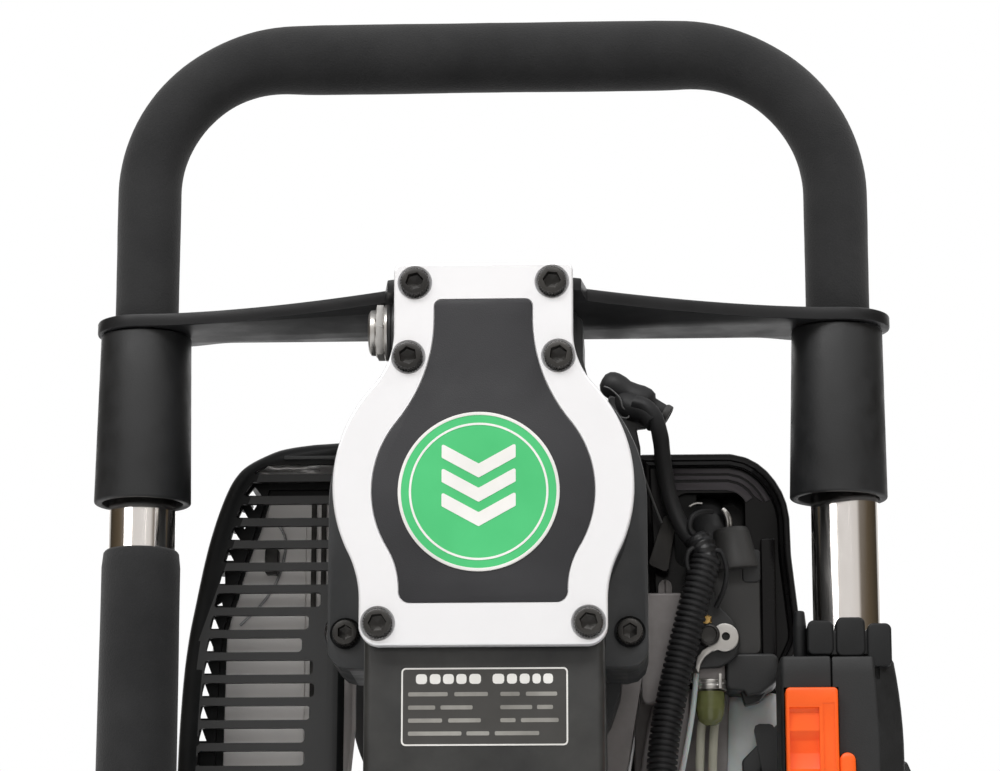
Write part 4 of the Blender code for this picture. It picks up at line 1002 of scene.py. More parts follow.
# slots: nine millimetres apart, run round the shoulder on to the side wall
RIGHT = {-1: -50, 0: -50, 1: -50, 2: -50, 3: -50, 4: -50, 5: -70.2, 6: -74.9, 7: -77.5, 8: -73.0, 9: -72.4, 10: -74.0}
for k in range(-1, 17):
    z = 572.95 - 9.0 * k
    h = 2.9
    if k < 0:
        z, h = 581.0, 2.0
    right = RIGHT.get(k, -76.0)
    lt, lb = outline_x(z + h) + 8.6, outline_x(z - h) + 8.6
    if k < 0:
        lt, lb = -93.0, -97.5
    r = 1.6
    cap = ([(right, z - h), (right, z + h)] if right > -60 else
           arc(right - r, z - h + r, r, -90, 0, 5) + arc(right - r, z + h - r, r, 0, 90, 5))
    cuts.append(prism("t", BLACK, [(lt + 0.8, z + h), (lt, z + h - 0.8), (lb, z - h + 0.8), (lb + 0.8, z - h)] + cap, "y", 40, 52))
    if k >= 0:
        cuts.append(box("t", BLACK, (-140, outline_x(z) + 7.0), (58.0, 101.0), (z + 6.4 - 3.3, z + 6.4 + 3.3), 1.2, "x", 0, 4))
cuts.append(turned("t", BLACK, (-60.0, 40, 515), (0, 1, 0), [(0.01, 0), (8.5, 0), (8.5, 12), (0.01, 12)], 48))
boolean(guard, cuts)


def lit_edge(z):
    """Where the louvres' pale, lit face begins and the rim's painted shade ends: it runs down the muffler's own slant.
    """
    return -98.0 - 0.345 * (572 - z) if z > 512 else -118.0


# the louvres' pale face ends on a slant, which the dark rim carries on from: one black moulding in a lit copy on its
# front faces and a darker copy painted as shade
gb = bmesh.new()
gb.from_mesh(guard.data)
bmesh.ops.bisect_plane(gb, geom=gb.verts[:] + gb.edges[:] + gb.faces[:], dist=1e-7, plane_co=place((lit_edge(560), 45, 560)),
                       plane_no=Vector((1, 0, -0.345)).normalized())
# front-facing faces right of the slant and below the top get the lit copy; all other faces get the painted shade
for f in gb.faces:
    c = Vector(f.calc_center_median()) * 1000 + OFFSET
    f.material_index = 1 if (abs(f.normal.y) > 0.9 and c.y < 45.6 and c.x > lit_edge(c.z) and c.z < 579.5) else 0
gb.to_mesh(guard.data)
gb.free()
guard.data.set_sharp_from_angle(angle=radians(32))
on(guard, "machine", "muffler_guard")
# a dark stay behind the louvres' outer ends, with small openings between its webs
stay = [(-57, 574.5), (-92.5, 574.5), (-94.5, 568), (-98.5, 556), (-102.4, 544), (-106.2, 531), (-110.0, 518), (-111.5, 505), (-112.5, 470), (-112.5, 400),
        (-124.0, 412), (-124.4, 430), (-124.4, 466), (-123.2, 492), (-121.4, 510), (-118.4, 528), (-114.8, 546), (-111.0, 560), (-106.6, 572.6),
        (-102.2, 579.4), (-96.5, 584.4), (-88.5, 587.6), (-57, 589.4)]
stay_cuts = []
for tri in ([(-101.3, 572.3), (-95.6, 572.2), (-98.5, 575.8)], [(-104.8, 563.3), (-101.1, 563.2), (-103.2, 566.8)], [(-100.4, 569.0), (-97.1, 568.9), (-98.7, 566.3)],
            [(-107.8, 554.3), (-104.2, 554.2), (-106.7, 558.2)], [(-103.4, 560.4), (-101.2, 560.3), (-102.3, 558.6)], [(-109.7, 545.7), (-106.5, 545.7), (-108.5, 549.4)],
            [(-112.4, 536.3), (-109.8, 536.3), (-110.0, 541.2), (-111.0, 541.2)], [(-113.4, 527.4), (-110.6, 527.4), (-111.0, 529.0)],
            [(-115.2, 518.1), (-112.0, 518.1), (-114.1, 523.2)], [(-116.9, 509.1), (-113.6, 509.1), (-115.6, 514.2)],
            [(-117.9, 500.1), (-114.6, 500.1), (-116.6, 505.2)], [(-118.6, 491.1), (-115.3, 491.1), (-117.3, 496.2)],
            [(-119.1, 482.1), (-115.8, 482.1), (-117.8, 487.2)], [(-119.4, 473.1), (-116.1, 473.1), (-118.1, 478.2)]):
    stay_cuts.append(prism("t", GUARD_BLACK_AND_SHADE, tri, "y", 45, 70))
stay_ob = prism("guard_stay", GUARD_BLACK_AND_SHADE, stay, "y", 55.2, 57.0)
boolean(stay_ob, stay_cuts)
on(stay_ob, "machine")
# painted shade: dark panels that stand for the shade inside the guard past the can's slanted side and close the view
# there
shade = prism("can_shade", GUARD_BLACK_AND_SHADE, [(-94.5, 585.0), (-96.9, 568), (-100.9, 556), (-104.8, 544), (-108.6, 531), (-112.4, 518), (-114.0, 505), (-115.0, 470),
                                       (-115.0, 400), (-110.5, 400), (-109.0, 515), (-107.6, 521.5), (-104.6, 530.5), (-102.4, 539.8), (-99.5, 548.8),
                                       (-96.2, 557.8), (-93.5, 566.8), (-92.8, 569.8), (-60, 569.8), (-60, 585)], "y", 57.6, 58.8)
on(shade, "machine")
# louvre strip under the top of the guard, and the bolt of the spark arrestor
on(box("guard_top_bar", GUARD_BAR, (-85.5, -60), (43.9, 45.6), (584.9, 586.2), 0.3, "x", 0.25, 3), "machine")
on(box("arrestor_bolt", OXIDE, (-93.8, -88.4), (54.5, 60.5), (540.2, 550.4), 1.0, "y", 0.5, 4), "machine")
# the seam and the edge of the can's shield
for i, (a, b) in enumerate(((-75.6, -73.6), (-71.6, -69.6))):
    on(box(f"can_seam_{i}", OXIDE, (a, b), (58.6, 60.6), (462, 578), 0.3, "y", 0.2, 2), "machine")
on(tube("arrestor_strap", MACHINED, even(catmull([(-96, 59.2, 563), (-89, 59.0, 560.5), (-86, 59.0, 553), (-88.5, 59.2, 540), (-95, 59.4, 529),
                                                   (-104, 59.6, 520)], 10), 0.8), 0.55, 12), "machine")

muf_line = poly([(-115.5, 440), (-64, 440), (-60, 480), (-60, 580), (-94.0, 580, 6), (-99.6, 562, 8), (-108.6, 538, 8), (-115.5, 512, 8)], 9, 6)
muf = shell("muffler_can", EXHAUST, muf_line, [(5, 60.0), (2.4, 60.7), (0.8, 62.2), (0.0, 65.0), (0.0, 76.6), (-1.4, 77.2), (-1.4, 79.4),
                                               (0.0, 80.0), (0.0, 91.0), (0.8, 94.0), (2.4, 95.4), (5, 96.0)])
grooves = [box("t", EXHAUST, (x - w, x + w), (55, 61.6), (448, 562), 0.3, "y", 0, 2) for x, w in ((-77.6, 0.25), (-66.6, 0.4))]
boolean(muf, grooves)
on(muf, "machine", "muffler")
# reflective sheet tucked under the top of the guard
def foil():
    bm = bmesh.new()
    nx, ny = 70, 14
    rows = []
    for i in range(nx + 1):
        x = -98 + 39 * i / nx
        row = []
        for j in range(ny + 1):
            t = j / ny
            z = 577.6 + 7.4 * t
            y = 52.6 - 3.4 * t + 1.3 * noise.noise(Vector((x * .12, z * .42, 3))) + 0.35 * noise.noise(Vector((x * .33, z * .9, 7)))
            row.append(bm.verts.new((x, y, z)))
        rows.append(row)
    for a, b in zip(rows, rows[1:]):
        for j in range(ny):
            bm.faces.new((a[j], b[j], b[j + 1], a[j + 1]))
    bmesh.ops.solidify(bm, geom=bm.faces[:], thickness=0.35)
    return obj("heat_sheet", bm, FOILM, 60, weld=False)


FOILM = brushed_mat("crinkled_foil", (0.86, 0.84, 0.83), (0.94, 0.92, 0.91), 0.26, 0.40, (2, 2, 2), 0.0, 0.03, 0.55)
on(foil(), "machine")

# ------------------------------------------------------------ air cleaner
aline = poly([(58.5, 529, 3), (56.4, 586.6, 2), (93.6, 586.6, 9), (99.8, 585.1, 9), (104.2, 582.7, 9), (108.0, 579.5, 9), (111.2, 575.5, 9),
              (113.8, 571.0, 9), (115.6, 566.2, 9), (116.6, 560.4, 10), (117.0, 545, 40), (120.5, 512, 16), (112, 494, 8), (72, 500, 5)], 8, 4)
case = shell("air_box", GLOSS, aline, [(4.9, 53.4), (4.6, 51.4), (4.1, 50.3), (2.9, 49.8), (2.4, 48.8), (1.2, 48.3), (0.4, 48.4), (0.0, 49.2), (0.0, 89.2),
                                       (0.4, 90.0)])
mouth = poly([(71.0, 541.5), (99.0, 541.5), (99.0, 571.4), (71.0, 571.4)], 5.0, 10)
boolean(case, [shell("t", GLOSS, mouth, [(-1.6, 47.0), (-1.3, 52.0), (-0.4, 52.9), (0.0, 54.0), (0.6, 76.0)])])
on(case, "machine", "air_cleaner_case")
# three raised ribs that follow the box's shoulder, coloured pale purple-grey as a painted highlight on their ridges
for i, (d0, d1) in enumerate(((5.4, 7.2), (8.2, 9.7), (10.9, 14.0))):
    a = [q for q in aline(d0) if q[1] > 566 and q[0] > 66]
    b = [q for q in aline(d1) if q[1] > 566 and q[0] > 66]
    m_ = min(len(a), len(b))
    a, b = a[:m_], b[:m_]
    a, b = [(66.0, a[0][1])] + a, [(66.0, b[0][1])] + b
    band = [tuple(q) for q in a] + [tuple(q) for q in reversed(b)]
    on(prism(f"box_rib_{i}", BOX_RIB_HIGHLIGHT, band, "y", 52.7, 53.6, 0.25, 2), "machine")
lid = poly([(68, 497, 5), (68.5, 560, 8), (60, 562, 4), (60, 587, 6), (93.6, 587.2, 20), (107.6, 580.2, 14), (115.2, 569, 16), (118.6, 545, 40), (121, 510, 16), (113, 491, 8)], 8, 10)
on(shell("air_box_lid", GLOSS, lid, [(0.5, 90.3), (0.0, 90.8), (0.0, 94.0), (0.8, 94.6), (0.8, 112.0), (1.6, 116.5), (3.0, 119.2), (4.6, 121.2),
                                     (6.6, 122.0)]),
   "machine", "air_cleaner_cover")
on(turned("lid_knob", BLACK, (95, 121.2, 545), (0, 1, 0), [
    (0.01, 0), (9, 0), (gon(10, 9.5, 1.6), 0.6), (gon(10, 9.3, 1.6), 4.8), (7.4, 5.6), (0.01, 5.2)], 120), "machine")

# rubber elbow inside the mouth, with the bright rim of its clamp
elbow = tube("intake_elbow", RUBBER, even(catmull([(84, 72, 566), (84, 63, 563), (84, 56.6, 556), (84.6, 55, 546), (85, 55, 538)], 8), 1.2),
             lambda s, a: 7.6 + 0.5 * (0.5 + 0.5 * cos(s * 1.55)) * (1 if s > 10 else 0), 56)
on(elbow, "machine")
ringp = [(84 + 8.6 * cos(radians(a)), 53.5 - 1.5 * sin(radians(a)), 559 + 8.6 * sin(radians(a)) * 0.94) for a in range(-38, 52, 6)]
on(tube("elbow_clamp", ZINC, ringp, lambda s, a: 0.75 + 0.85 * sin(min(1, s / 13) * pi) * abs(cos(a)), 20), "machine")
ringq = [(80.5 + 4.5 * cos(radians(a)), 52.0, 563.5 + 3.6 * sin(radians(a))) for a in range(70, 150, 8)]
on(tube("elbow_clamp_lug", ZINC, ringq, 0.55, 12), "machine")
on(turned("duct_cone", GREYP, (93, 49.5, 556.0), (0.12, 0, -1), soft_profile([
    (0.01, 0), (6.6, 0), (7.4, 2, .5), (9.4, 15), (9.6, 17, .5), (0.01, 17)], 0.6, 3), 56), "machine")

on(smooth_prism("tank_stay", BLACK, poly([(112.5, 481.0, 1), (112.5, 471.5, 1), (104.4, 462.0, 1.5), (102.2, 452, 2), (97.0, 452, 2), (96.4, 464.6, 2.5)], 1.5, 6),
                "y", 58.0, 62.4, 0.8), "machine")

# dark side panel, foot and brackets below the box
on(box("side_panel", GREYP, (85.6, 104.2), (46.6, 56), (505.2, 547.4), 2.6, "y", 0.7, 6), "machine")
on(box("side_panel_edge", GLOSS, (104.8, 110.6), (47.4, 60), (505.0, 552), 1.2, "y", 0.6, 5), "machine")
on(box("side_panel_step", BLACK, (97.4, 104.6), (45.9, 52), (534.0, 547.2), 1.6, "y", 0.5, 5), "machine")
on(smooth_prism("box_foot", BLACK, poly([(90.4, 505.4, 2), (110.9, 505.4, 3), (111.2, 495, 6), (104, 489.4, 4), (98.5, 488.6, 1.5),
    (97.0, 490.6, 1.2), (90.4, 491.2, 2)], 2, 6), "y", 44.5, 70, 1.1), "machine")
on(smooth_prism("foot_hook", BLACK, poly([(95.6, 492, 1), (97.8, 485.6, 1), (103.6, 487.2, 2), (107.5, 493, 2)], 1, 5),
                "y", 50, 58, 0.6), "machine")
on(smooth_prism("carb_flange", BLACK, poly([(76, 533, 3), (84.4, 535, 5), (87.8, 524, 8), (93.2, 518.5, 8), (96.4, 511, 8),
    (94.6, 503.5, 6), (88, 499.5, 4), (76, 499, 3)], 3, 8), "y", 41.5, 47, 0.9), "machine")

# eyelet bracket, its bolt, the brass jet and the carburettor's lower ring
eye = soft_profile([(77.2, 499.5, .4), (78.6, 504.0, 3), (84.0, 508.5, 6)], 1, 6) + arc(89.6, 510.9, 5.6, 200, -120, 40)[::1] \
    + soft_profile([(83.0, 503.6, 5), (79.6, 500.4, 2), (78.6, 497.0, .3)], 1, 6)
eye = [(78.0, 499.0), (78.9, 503.2), (81.0, 506.0), (84.0, 507.8)] + arc(89.8, 510.9, 5.6, 178, -118, 44) + \
      [(84.6, 505.2), (82.0, 503.2), (80.4, 500.6), (79.4, 496.6)]
eyelet = smooth_prism("cable_eyelet", ZINC, eye, "y", 38.6, 40.4, 0.35)
boolean(eyelet, [turned("t", ZINC, (90.3, 30, 511.3), (0, 1, 0), [(0.01, 0), (1.65, 0), (1.65, 20), (0.01, 20)], 40)])
on(eyelet, "machine")
on(turned("eyelet_bolt", OXIDE, (83.6, 41.6, 511.8), (0, -1, 0), soft_profile([
    (0.01, 0), (4.6, 0), (4.6, 1.0), (4.3, 1.4), (4.3, 5.6, .6), (3.2, 6.0, .2), (3.0, 5.4), (0.01, 5.2)], 0.3, 3), 64),
    "machine")
on(turned("brass_jet", BRASS, (82.7, 44, 518.2), (0, -1, 0), [(0.01, 0), (2.1, 0), (hexr(4.2), 0.2), (hexr(4.2), 3.4), (1.6, 4.0), (0.01, 4.0)], 72),
   "machine")
ring = [turned("carb_ring", ZINC, (84.0, 47, 494.8), (0, 0, -1), soft_profile([(0.01, 0), (6.5, 0, .3), (6.5, 1.2, .3), (6.2, 1.6, .1), (6.2, 2.0, .1),
               (6.45, 2.4, .2), (6.45, 3.8, .1), (5.9, 3.8, .1), (5.9, 0.2, .1), (0.01, 0.2)], 0.2, 3), 64),
        box("carb_post", ZINC, (87.0, 88.6), (38.6, 40.6), (490.8, 496.6), 0.4, "z", 0.2)]
on(merge("carb_bowl_ring", ring), "machine")
on(box("carb_body", CASTGREY, (76.5, 90), (44, 56), (495.0, 504.0), 2.0, "z", 0.6, 5), "machine")
on(turned("primer_dome", BULB, (84.0, 47, 490.4), (0, 0, -1), soft_profile([
    (0.01, 0), (5.7, 0, .3), (5.7, 1.2), (5.7, 7.0, 2.5), (4.6, 11.6, 2.5), (2.0, 13.2, 1), (0.01, 13.2)], 1.2, 5), 56, smooth=50),
    "primer", "primer_bulb")
for i, (x, dx) in enumerate(((79.6, -0.4), (84.7, 0.2))):
    on(tube(f"fuel_line_{i}", FUEL_LINE, even(catmull([(x + 1.2, 50.5, 479.5), (x + 0.6, 51, 474), (x, 52, 462), (x + dx, 55, 448),
                                                       (x + dx * 3, 61, 438), (x + dx * 4, 68, 430)], 8), 1.4), 1.75, 24), "machine")
on(tube("breather_hose", TANK, even(catmull([(78.6, 42.6, 497), (77.9, 42, 490), (76.6, 42, 480), (74.4, 42, 468), (71.8, 43, 456),
                                                     (68, 45, 442), (64, 50, 428), (60, 58, 416)], 8), 1.4), 1.1, 20), "machine")

# ------------------------------------------------------------------ engine
# pale casting that shows between the gearbox and the hose
on(smooth_prism("mount_web", CASTGREY, poly([(56.2, 528.6, 1.5), (73.5, 528.6, 1.5), (72.4, 505, 6), (66.4, 486, 3), (57.0, 484, 3)],
                                                     2, 6), "y", 37.4, 44.0, 0.9), "machine")
on(smooth_prism("mount_web_low", CASTGREY, poly([(60.5, 485, 3), (76.2, 494, 3), (75.6, 470, 4), (70, 440, 4), (58, 428, 4), (55, 452, 4)],
                                                         2, 6), "y", 45.4, 50.0, 0.9), "machine")
on(smooth_prism("engine_skirt", CASTGREY, poly([(54, 494, 3), (92, 494, 3), (90, 424, 6), (54, 412, 6)], 3, 6), "y", 64.4, 70.0, 0.9), "machine")
# spark plug boot: a ribbed shoulder, a neck and an open end, with its wire clip
BD = Vector((0.865, 0, -0.50)).normalized()
B0 = Vector((46.2, 50, 615.6))
boot = [turned("boot_body", RUBBER, B0, BD, [
    (0.01, -4.6), (2.6, -4.2), (4.3, -3.0), (5.2, -1.4), (5.6, 0.6), (5.5, 3.6), (5.0, 6.0), (5.4, 9.0), (6.1, 12.0), (6.2, 15.0), (5.4, 17.2),
    (3.9, 18.2), (3.7, 21.0), (3.6, 24.4), (3.2, 25.4), (0.01, 25.4)], 64, smooth=60),
    tube("boot_elbow", RUBBER, even(catmull([(48.6, 52.5, 611.5), (54.4, 47.2, 605.6), (60.4, 43.0, 602.0), (63.6, 40.8, 597.8)], 8), 1.0),
         lambda s, a: 4.4 + 1.2 * sin(min(1.0, s / 17.0) * pi), 40)]
on(merge("plug_boot", boot), "machine", "spark_plug_boot")
on(turned("boot_tip", GREYP, B0 + BD * 23.6, BD, soft_profile([(2.0, 0), (3.9, 0), (4.3, 0.8, .4), (4.2, 2.8, .6), (2.6, 2.9, .3), (2.2, 0.8, .2)], 0.3, 3, True), 48, True),
   "machine")
clip = even(catmull([(43.0, 44, 613.6), (45.6, 43.6, 612.4), (49.4, 43.4, 608.6), (50.6, 43.2, 604.6), (53.0, 43.2, 603.2), (52.6, 43.4, 600.6), (49.4, 43.8, 600.8)], 10), 0.5)
on(tube("boot_clip", CLIP, clip, 0.38, 12), "machine")
# dark stay plate along the gearbox, from the boot down to the air box
on(smooth_prism("boot_bracket", BLACK, poly([(44.0, 612, 3), (49.5, 609, 3), (55.2, 602.4, 2), (60.4, 601.0, 1.0), (60.2, 597.2, 1.0), (56.0, 596.8, 0.8), (57.5, 589, 5), (57.8, 576, 3),
    (52.0, 560, 4), (48.6, 590, 6)], 2, 5), "y", 46.5, 51.0, 0.8), "machine")

LEAD = [(65.6, 38.5, 590.5), (66.6, 37.5, 580), (69.2, 35, 565), (74, 33, 553.0), (79.5, 32, 546.5)]
lead_path = even(catmull([(55.4, 43.4, 606.4), (60.0, 41.6, 604.4), (63.6, 40.0, 599.0)] + LEAD, 12), 1.0)
on(tube("plug_lead", RUBBER, lead_path, lambda s, a: 3.3 + 0.05 * sin(s * 0.7), 32), "machine", "ht_lead")
on(tube("ground_wire", CLIP, even(catmull([(57.4, 40, 580), (59.8, 40, 573), (63.0, 40, 564), (65.6, 40, 557)], 10), 0.8), 0.5, 12),
   "machine")
# dark bulkhead of the engine bay between the gearbox and the air box
on(smooth_prism("bay_wall", GUARD_BLACK_AND_SHADE, poly([(50, 586.0), (66, 586.0), (80, 575), (80, 529), (50, 529)], 1.2, 4), "y", 56.2, 60.0, 0.5), "machine")

# taped joint of the lead and the loom
def taped(s, a):
    return 4.6 + 0.25 * sin(s * 2.1 + a) + 0.9 * exp(-((s - 5.0) / 3.6) ** 2) + 0.12 * noise.noise(Vector((s, cos(a) * 2, sin(a) * 2)))


on(tube("loom_tape", TAPE, even(catmull([(78.5, 32.4, 549.5), (81.5, 31.6, 545.0), (83.2, 31.0, 540.5), (82.2, 30.6, 536.6)], 10), 0.5), taped, 44),
   "machine")
for i, pts in enumerate(([(79.4, 30, 549.0), (76.6, 28.4, 552.5), (77.4, 28.6, 557.0), (81.0, 31, 559.5), (85.5, 38, 561.0)],
                         [(84.8, 29.4, 544.0), (88.8, 29.6, 543.2), (90.8, 31.4, 536.5), (89.6, 34.5, 529.0), (86.6, 39.0, 523.0)],
                         [(80.0, 28.8, 546.0), (76.0, 27.6, 543.2), (75.2, 28.2, 538.6), (77.0, 29.2, 534.0)])):
    on(tube(f"loom_wire_{i}", RUBBER, even(catmull(pts, 10), 0.8), 1.05, 16), "machine")

# corrugated conduit from the loom to the throttle grip
CONDUIT = [(83, 31, 541.5), (80, 30, 531), (76, 30, 516), (70, 30, 492), (65.5, 29, 468), (64, 28, 440),
           (66, 26, 400), (74, 24, 355), (88, 22, 318), (108, 21, 298), (127, 20.5, 304), (134.5, 20.5, 326),
           (135.5, 20.5, 350), (135.5, 20.5, 371.6)]
cpath = even(catmull(CONDUIT, 24), 0.29)
PITCH = 2.33


def rings(s, a):
    t = (s / PITCH) % 1.0
    up = max(0.0, min(1.0, (0.5 - abs(t - 0.5) - 0.13) / 0.12))
    # the split down its length opens a little
    slit = 0.16 * max(0.0, 1 - abs(((a - 2.2 + pi) % (2 * pi)) - pi) / 0.09)
    return 5.15 + 0.85 * (up * up * (3 - 2 * up)) - slit


conduit = tube("conduit_hose", RUBBER, cpath, rings, 36, smooth=75)
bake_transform(conduit)
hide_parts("conduit")
on(turned("conduit_cuff", BLACK, (135.5, 20.5, 371.4), (0, 0, -1), soft_profile([
    (6.4, 0), (8.4, 0, .6), (7.9, 7, .6), (6.4, 7, .3)], 0.4, 3, True), 48, True), H)

# ----------------------------------------------------- recoil starter and tank
PZ = 496.75


def recoil():
    prof = soft_profile([(56, 0), (64, 0, .6), (64, 3), (63, 4.2, .3), (63, 33, 3), (58.4, 50.5, 5), (50, 53.2, 2), (21, 56.6, 2.5), (20, 57, .4),
                         (20, 53.2), (49, 49.6), (55, 47.5, 3), (60.2, 32, 3), (60.2, 6), (56, 5)], 0.5, 4, True)
    ob = turned("recoil_cover", BLACK, (0, 116.3, PZ), (0, 1, 0), prof, 120, True)
    cuts = [turned("t", BLACK, (26, 154, PZ + 30), (0, 0, 1), [(0.01, 0), (3.5, 0), (3.5, 50), (0.01, 50)], 32)]
    # fan of slots in the face
    for k in range(20):
        a = radians(9 + 18 * k)
        if abs(((9 + 18 * k - 62) + 180) % 360 - 180) < 20:
            continue
        d, n = Vector((cos(a), 0, sin(a))), Vector((-sin(a), 0, cos(a)))
        pts = []
        for r, w in ((27, -1.2), (47, -2.6), (48.6, 0), (47, 2.6), (27, 1.2), (26, 0)):
            q = Vector((0, 0, PZ)) + d * r + n * w
            pts.append((q.x, q.z))
        cuts.append(prism("t", BLACK, pts, "y", 160, 180))
    # slots round the side
    for k in range(18):
        a = radians(20 * k + 4)
        if 30 < (20 * k + 4) < 105:
            continue
        d, n = Vector((cos(a), 0, sin(a))), Vector((-sin(a), 0, cos(a)))
        pts = []
        for r, w in ((55, -2.2), (70, -2.2), (70, 2.2), (55, 2.2)):
            q = Vector((0, 0, PZ)) + d * r + n * w
            pts.append((q.x, q.z))
        cuts.append(prism("t", BLACK, pts, "y", 124, 141))
    return boolean(ob, cuts)


on(recoil(), "machine", "recoil_housing")
on(turned("recoil_hub", GREYP, (0, 170.2, PZ), (0, 1, 0), soft_profile([
    (0.01, 0), (20.4, 0), (20.4, 2.4, .8), (16, 3.0, .5), (15.2, 2.2, .3), (6, 2.0), (0.01, 2.0)], 0.4, 3), 80), "machine")
for k in range(4):
    a = radians(45 + 90 * k)
    on(turned(f"recoil_screw_{k}", OXIDE, (61.4 * cos(a) * 0.985, 148.5, PZ + 61.4 * sin(a) * 0.985), (0, 1, 0), [
        (0.01, -8), (3.0, -8), (3.0, 0), (2.7, 0.5), (hexr(3.2), 0.5), (hexr(3.0), -0.9), (0.3, -1.1)], 72, smooth=28), "machine")


def pull_grip():
    """A D-shaped pull with finger swells."""
    bm_loops = []
    n = 30
    for i in range(n + 1):
        t = i / n
        x = 9 + 34 * t
        e = (1 - abs(2 * t - 1) ** 5) ** 0.5 if 0 < t < 1 else 0.12
        w = 5.6 + 1.2 * cos(4 * pi * t)
        bm_loops.append([Vector((x, 154 + w * e * cos(a), 574 + (6.4 + 0.5 * cos(4 * pi * t)) * e * sin(a)))
                         for a in (2 * pi * k / 40 for k in range(40))])
    return obj("pull_handle", ring_bm(bm_loops), BLACK, 50, weld=False)


on(pull_grip(), "pull_grip", "starter_grip")
on(turned("pull_knot", RUBBER, (26, 154, 566.9), (0, 0, 1), soft_profile([(0.01, 0), (2.9, 0, .5), (2.3, 2.4), (0.01, 2.4)], 0.4, 3), 32),
   "pull_grip")
rope_pts = [(26, 154, z) for z in [524.75 + 0.9 * k for k in range(47)]]
rope = tube("pull_rope", RUBBER, rope_pts, lambda s, a: 1.62 + 0.2 * abs(sin(1.5 * a + s * 1.1)), 24, smooth=60)
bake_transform(rope)
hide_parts("starter_rope")

tank_line = poly([(-56, 376, 14), (96, 376, 10), (112, 390, 10), (114, 493, 5), (90, 493, 5), (84, 431, 12), (-56, 431, 12)],
                 6, 10)
tk = shell("tank_shell", TANK, tank_line, [(7.0, 64.0), (4.4, 64.4), (2.0, 65.8), (0.5, 68.0), (0.0, 71.0), (0.0, 105.8), (-0.9, 106.4), (-0.9, 107.6),
                                          (0.0, 108.2), (0.0, 143.0), (0.5, 146.0), (2.0, 148.2), (4.4, 149.6), (7.0, 150.0)])
on(tk, "machine", "fuel_tank")
on(turned("tank_neck", TANK, (-50, 122, 404), (-1, 0, 0), soft_profile([(0.01, 0), (17.5, 0), (17.5, 5.6, .4), (0.01, 5.6)], 0.4, 3), 72),
   "machine")
on(turned("tank_cap", BLACK, (-56.3, 122, 404), (-1, 0, 0), [
    (0.01, 0), (18.2, 0), (18.6, 0.4), (18.6, 2.0), (gon(26, 19.0, 0.9), 2.8), (gon(26, 19.0, 0.9), 11.0), (17.9, 13.2), (16.6, 14.6), (15.2, 15.0),
    (14.6, 14.2), (0.01, 14.2)], 156), "cap", "fuel_cap")
on(smooth_prism("tank_cap_bar", BLACK, poly([(110.5, 401.2), (133.5, 401.2), (133.5, 406.8), (110.5, 406.8)], 2.7, 6),
                "x", -71.6, -69.0, 0.5), "cap")
# tank straps
for i, y in enumerate((84.0, 132.0)):
    loops = []
    for d, yy in ((-0.2, y - 5), (-1.6, y - 5), (-1.6, y + 5), (-0.2, y + 5)):
        loops.append([Vector((x, yy, z)) for x, z in tank_line(d)])
    on(obj(f"tank_strap_{i}", ring_bm(loops, True), PLATE, 40, weld=False), "machine")

# starter shroud details: raised ribs over the cylinder
for i, x in enumerate((-36, -20, -4, 12, 28)):
    on(box(f"shroud_rib_{i}", BLACK, (x - 1.6, x + 1.6), (46, 112), (606.0, 608.6), 1.2, "z", 0.5, 4), "machine")

# ------------------------------------------ finishes of the CAD pieces that stay
NODE_MATS = {
    "anvil": MACHINED, "anvil_buffer": RUBBER, "striker": MACHINED, "piston": CASTGREY, "crank_gear": MACHINED, "clutch_drum": MACHINED,
    "connecting_rod": MACHINED, "gearbox_rear": CAST, "engine_crankcase": CASTGREY, "cylinder_shroud": BLACK, "flywheel": CASTGREY,
    "starter_pulley": BLACK, "carburettor": CASTGREY, "choke_lever": BLACK, "throttle_arm": OXIDE}
EDGE_W = {"anvil": 0.6, "striker": 0.8, "piston": 0.6, "crank_gear": 0.12, "clutch_drum": 0.12, "connecting_rod": 0.5, "gearbox_rear": 0.7,
          "engine_crankcase": 1.4, "cylinder_shroud": 2.2, "flywheel": 0.5, "starter_pulley": 0.4, "carburettor": 0.5, "choke_lever": 0.7,
          "throttle_arm": 0.35, "anvil_buffer": 0.6}
for name, m in NODE_MATS.items():
    ob = bpy.data.objects[name]
    ob.data.materials.clear()
    ob.data.materials.append(m)
    w = ob.modifiers.new("weld", "WELD")
    w.merge_threshold = 1e-5
    b = ob.modifiers.new("edge", "BEVEL")
    b.width = EDGE_W[name] / 1000
    b.segments = 3
    b.limit_method = "ANGLE"
    b.angle_limit = radians(40)
    b.use_clamp_overlap = True

# --------------------------------------------------------------- floor, light
def floor():
    bm = bmesh.new()
    vs = [bm.verts.new(p) for p in ((-4, -3, -0.1005), (4, -3, -0.1005), (4, 5, -0.1005), (-4, 5, -0.1005))]
    bm.faces.new(vs)
    me = bpy.data.meshes.new("floor")
    bm.to_mesh(me)
    bm.free()
    m = Mat("pale_floor")
    m.set(Roughness=0.6)
    m.colour(m.noise(3, 4), (0.80, 0.80, 0.80), (0.84, 0.84, 0.84))
    me.materials.append(m.m)
    ob = bpy.data.objects.new("floor", me)
    bpy.context.collection.objects.link(ob)


floor()
scene = bpy.context.scene
world = bpy.data.worlds.new("studio")
scene.world = world
world.use_nodes = True
wt = world.node_tree
bg = wt.nodes["Background"]
bg.inputs["Strength"].default_value = 0.80
wc = wt.nodes.new("ShaderNodeTexCoord")
sep = wt.nodes.new("ShaderNodeSeparateXYZ")
wt.links.new(wc.outputs["Generated"], sep.inputs["Vector"])


def wmath(op, a, b=None):
    m_ = wt.nodes.new("ShaderNodeMath")
    m_.operation = op
    for i_, q in enumerate((a, b)):
        if q is None:
            continue
        if isinstance(q, (int, float)):
            m_.inputs[i_].default_value = q
        else:
            wt.links.new(q, m_.inputs[i_])
    return m_.outputs[0]


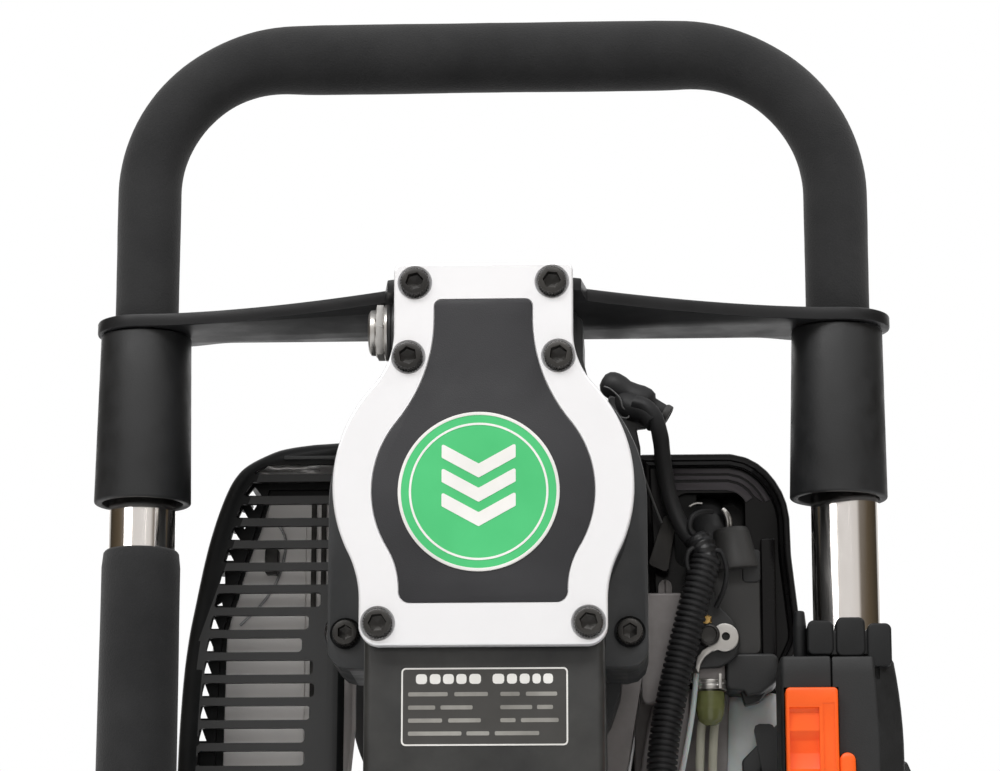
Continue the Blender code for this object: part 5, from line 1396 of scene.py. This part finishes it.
flat = wmath("SQRT", wmath("ADD", wmath("ADD", wmath("MULTIPLY", sep.outputs["X"], sep.outputs["X"]),
                                        wmath("MULTIPLY", sep.outputs["Y"], sep.outputs["Y"])), 1e-5))
front = wmath("ADD", wmath("MULTIPLY", wmath("DIVIDE", sep.outputs["Y"], flat), -0.5), 0.5)
wr = wt.nodes.new("ShaderNodeValToRGB")
stops = [(0.0, (0.95, 0.95, 0.95)), (0.13, (0.90, 0.89, 0.87)), (0.19, (0.05, 0.040, 0.028)), (0.55, (0.11, 0.085, 0.055)), (0.82, (0.16, 0.13, 0.095)),
         (0.885, (0.80, 0.765, 0.73)), (1.0, (0.86, 0.835, 0.81))]
e_ = wr.color_ramp.elements
e_[0].position, e_[0].color = stops[0][0], (*stops[0][1], 1)
e_[1].position, e_[1].color = stops[-1][0], (*stops[-1][1], 1)
for p_, c_ in stops[1:-1]:
    x_ = e_.new(p_)
    x_.color = (*c_, 1)
wt.links.new(front, wr.inputs["Fac"])
up = wt.nodes.new("ShaderNodeMapRange")
up.inputs["From Min"].default_value, up.inputs["From Max"].default_value = 0.45, 0.85
wt.links.new(sep.outputs["Z"], up.inputs["Value"])
wmix = wt.nodes.new("ShaderNodeMix")
wmix.data_type = "RGBA"
wt.links.new(up.outputs["Result"], wmix.inputs["Factor"])
wt.links.new(wr.outputs["Color"], wmix.inputs["A"])
wmix.inputs["B"].default_value = (0.70, 0.70, 0.71, 1)
wt.links.new(wmix.outputs["Result"], bg.inputs["Color"])
seen = wt.nodes.new("ShaderNodeBackground")
seen.inputs["Color"].default_value = (1.0, 1.0, 1.0, 1)
seen.inputs["Strength"].default_value = 1.0
path = wt.nodes.new("ShaderNodeLightPath")
mixw = wt.nodes.new("ShaderNodeMixShader")
wt.links.new(path.outputs["Is Camera Ray"], mixw.inputs["Fac"])
wt.links.new(bg.outputs["Background"], mixw.inputs[1])
wt.links.new(seen.outputs["Background"], mixw.inputs[2])
wt.links.new(mixw.outputs["Shader"], wt.nodes["World Output"].inputs["Surface"])
scene.view_settings.view_transform = "Standard"
scene.view_settings.look = "None"


def area(name, at, to, size, power, colour=(1, 1, 1)):
    d = bpy.data.lights.new(name, "AREA")
    d.shape = "RECTANGLE"
    d.size, d.size_y = size
    d.energy = power
    d.color = colour
    o = bpy.data.objects.new(name, d)
    o.location = at
    o.rotation_euler = (Vector(to) - Vector(at)).to_track_quat("-Z", "Y").to_euler()
    bpy.context.collection.objects.link(o)


area("front_high", (-0.2, -1.7, 2.35), (0, 0, 0.42), (2.2, 0.9), 34)
area("key", (-1.3, -1.2, 1.9), (0, 0, 0.5), (1.0, 1.0), 12)
area("side_right", (1.35, -0.5, 2.0), (0.1, 0, 0.42), (0.6, 0.6), 9)
area("back_glow", (0, 1.9, 0.9), (0, 0, 0.45), (2.4, 1.4), 8)
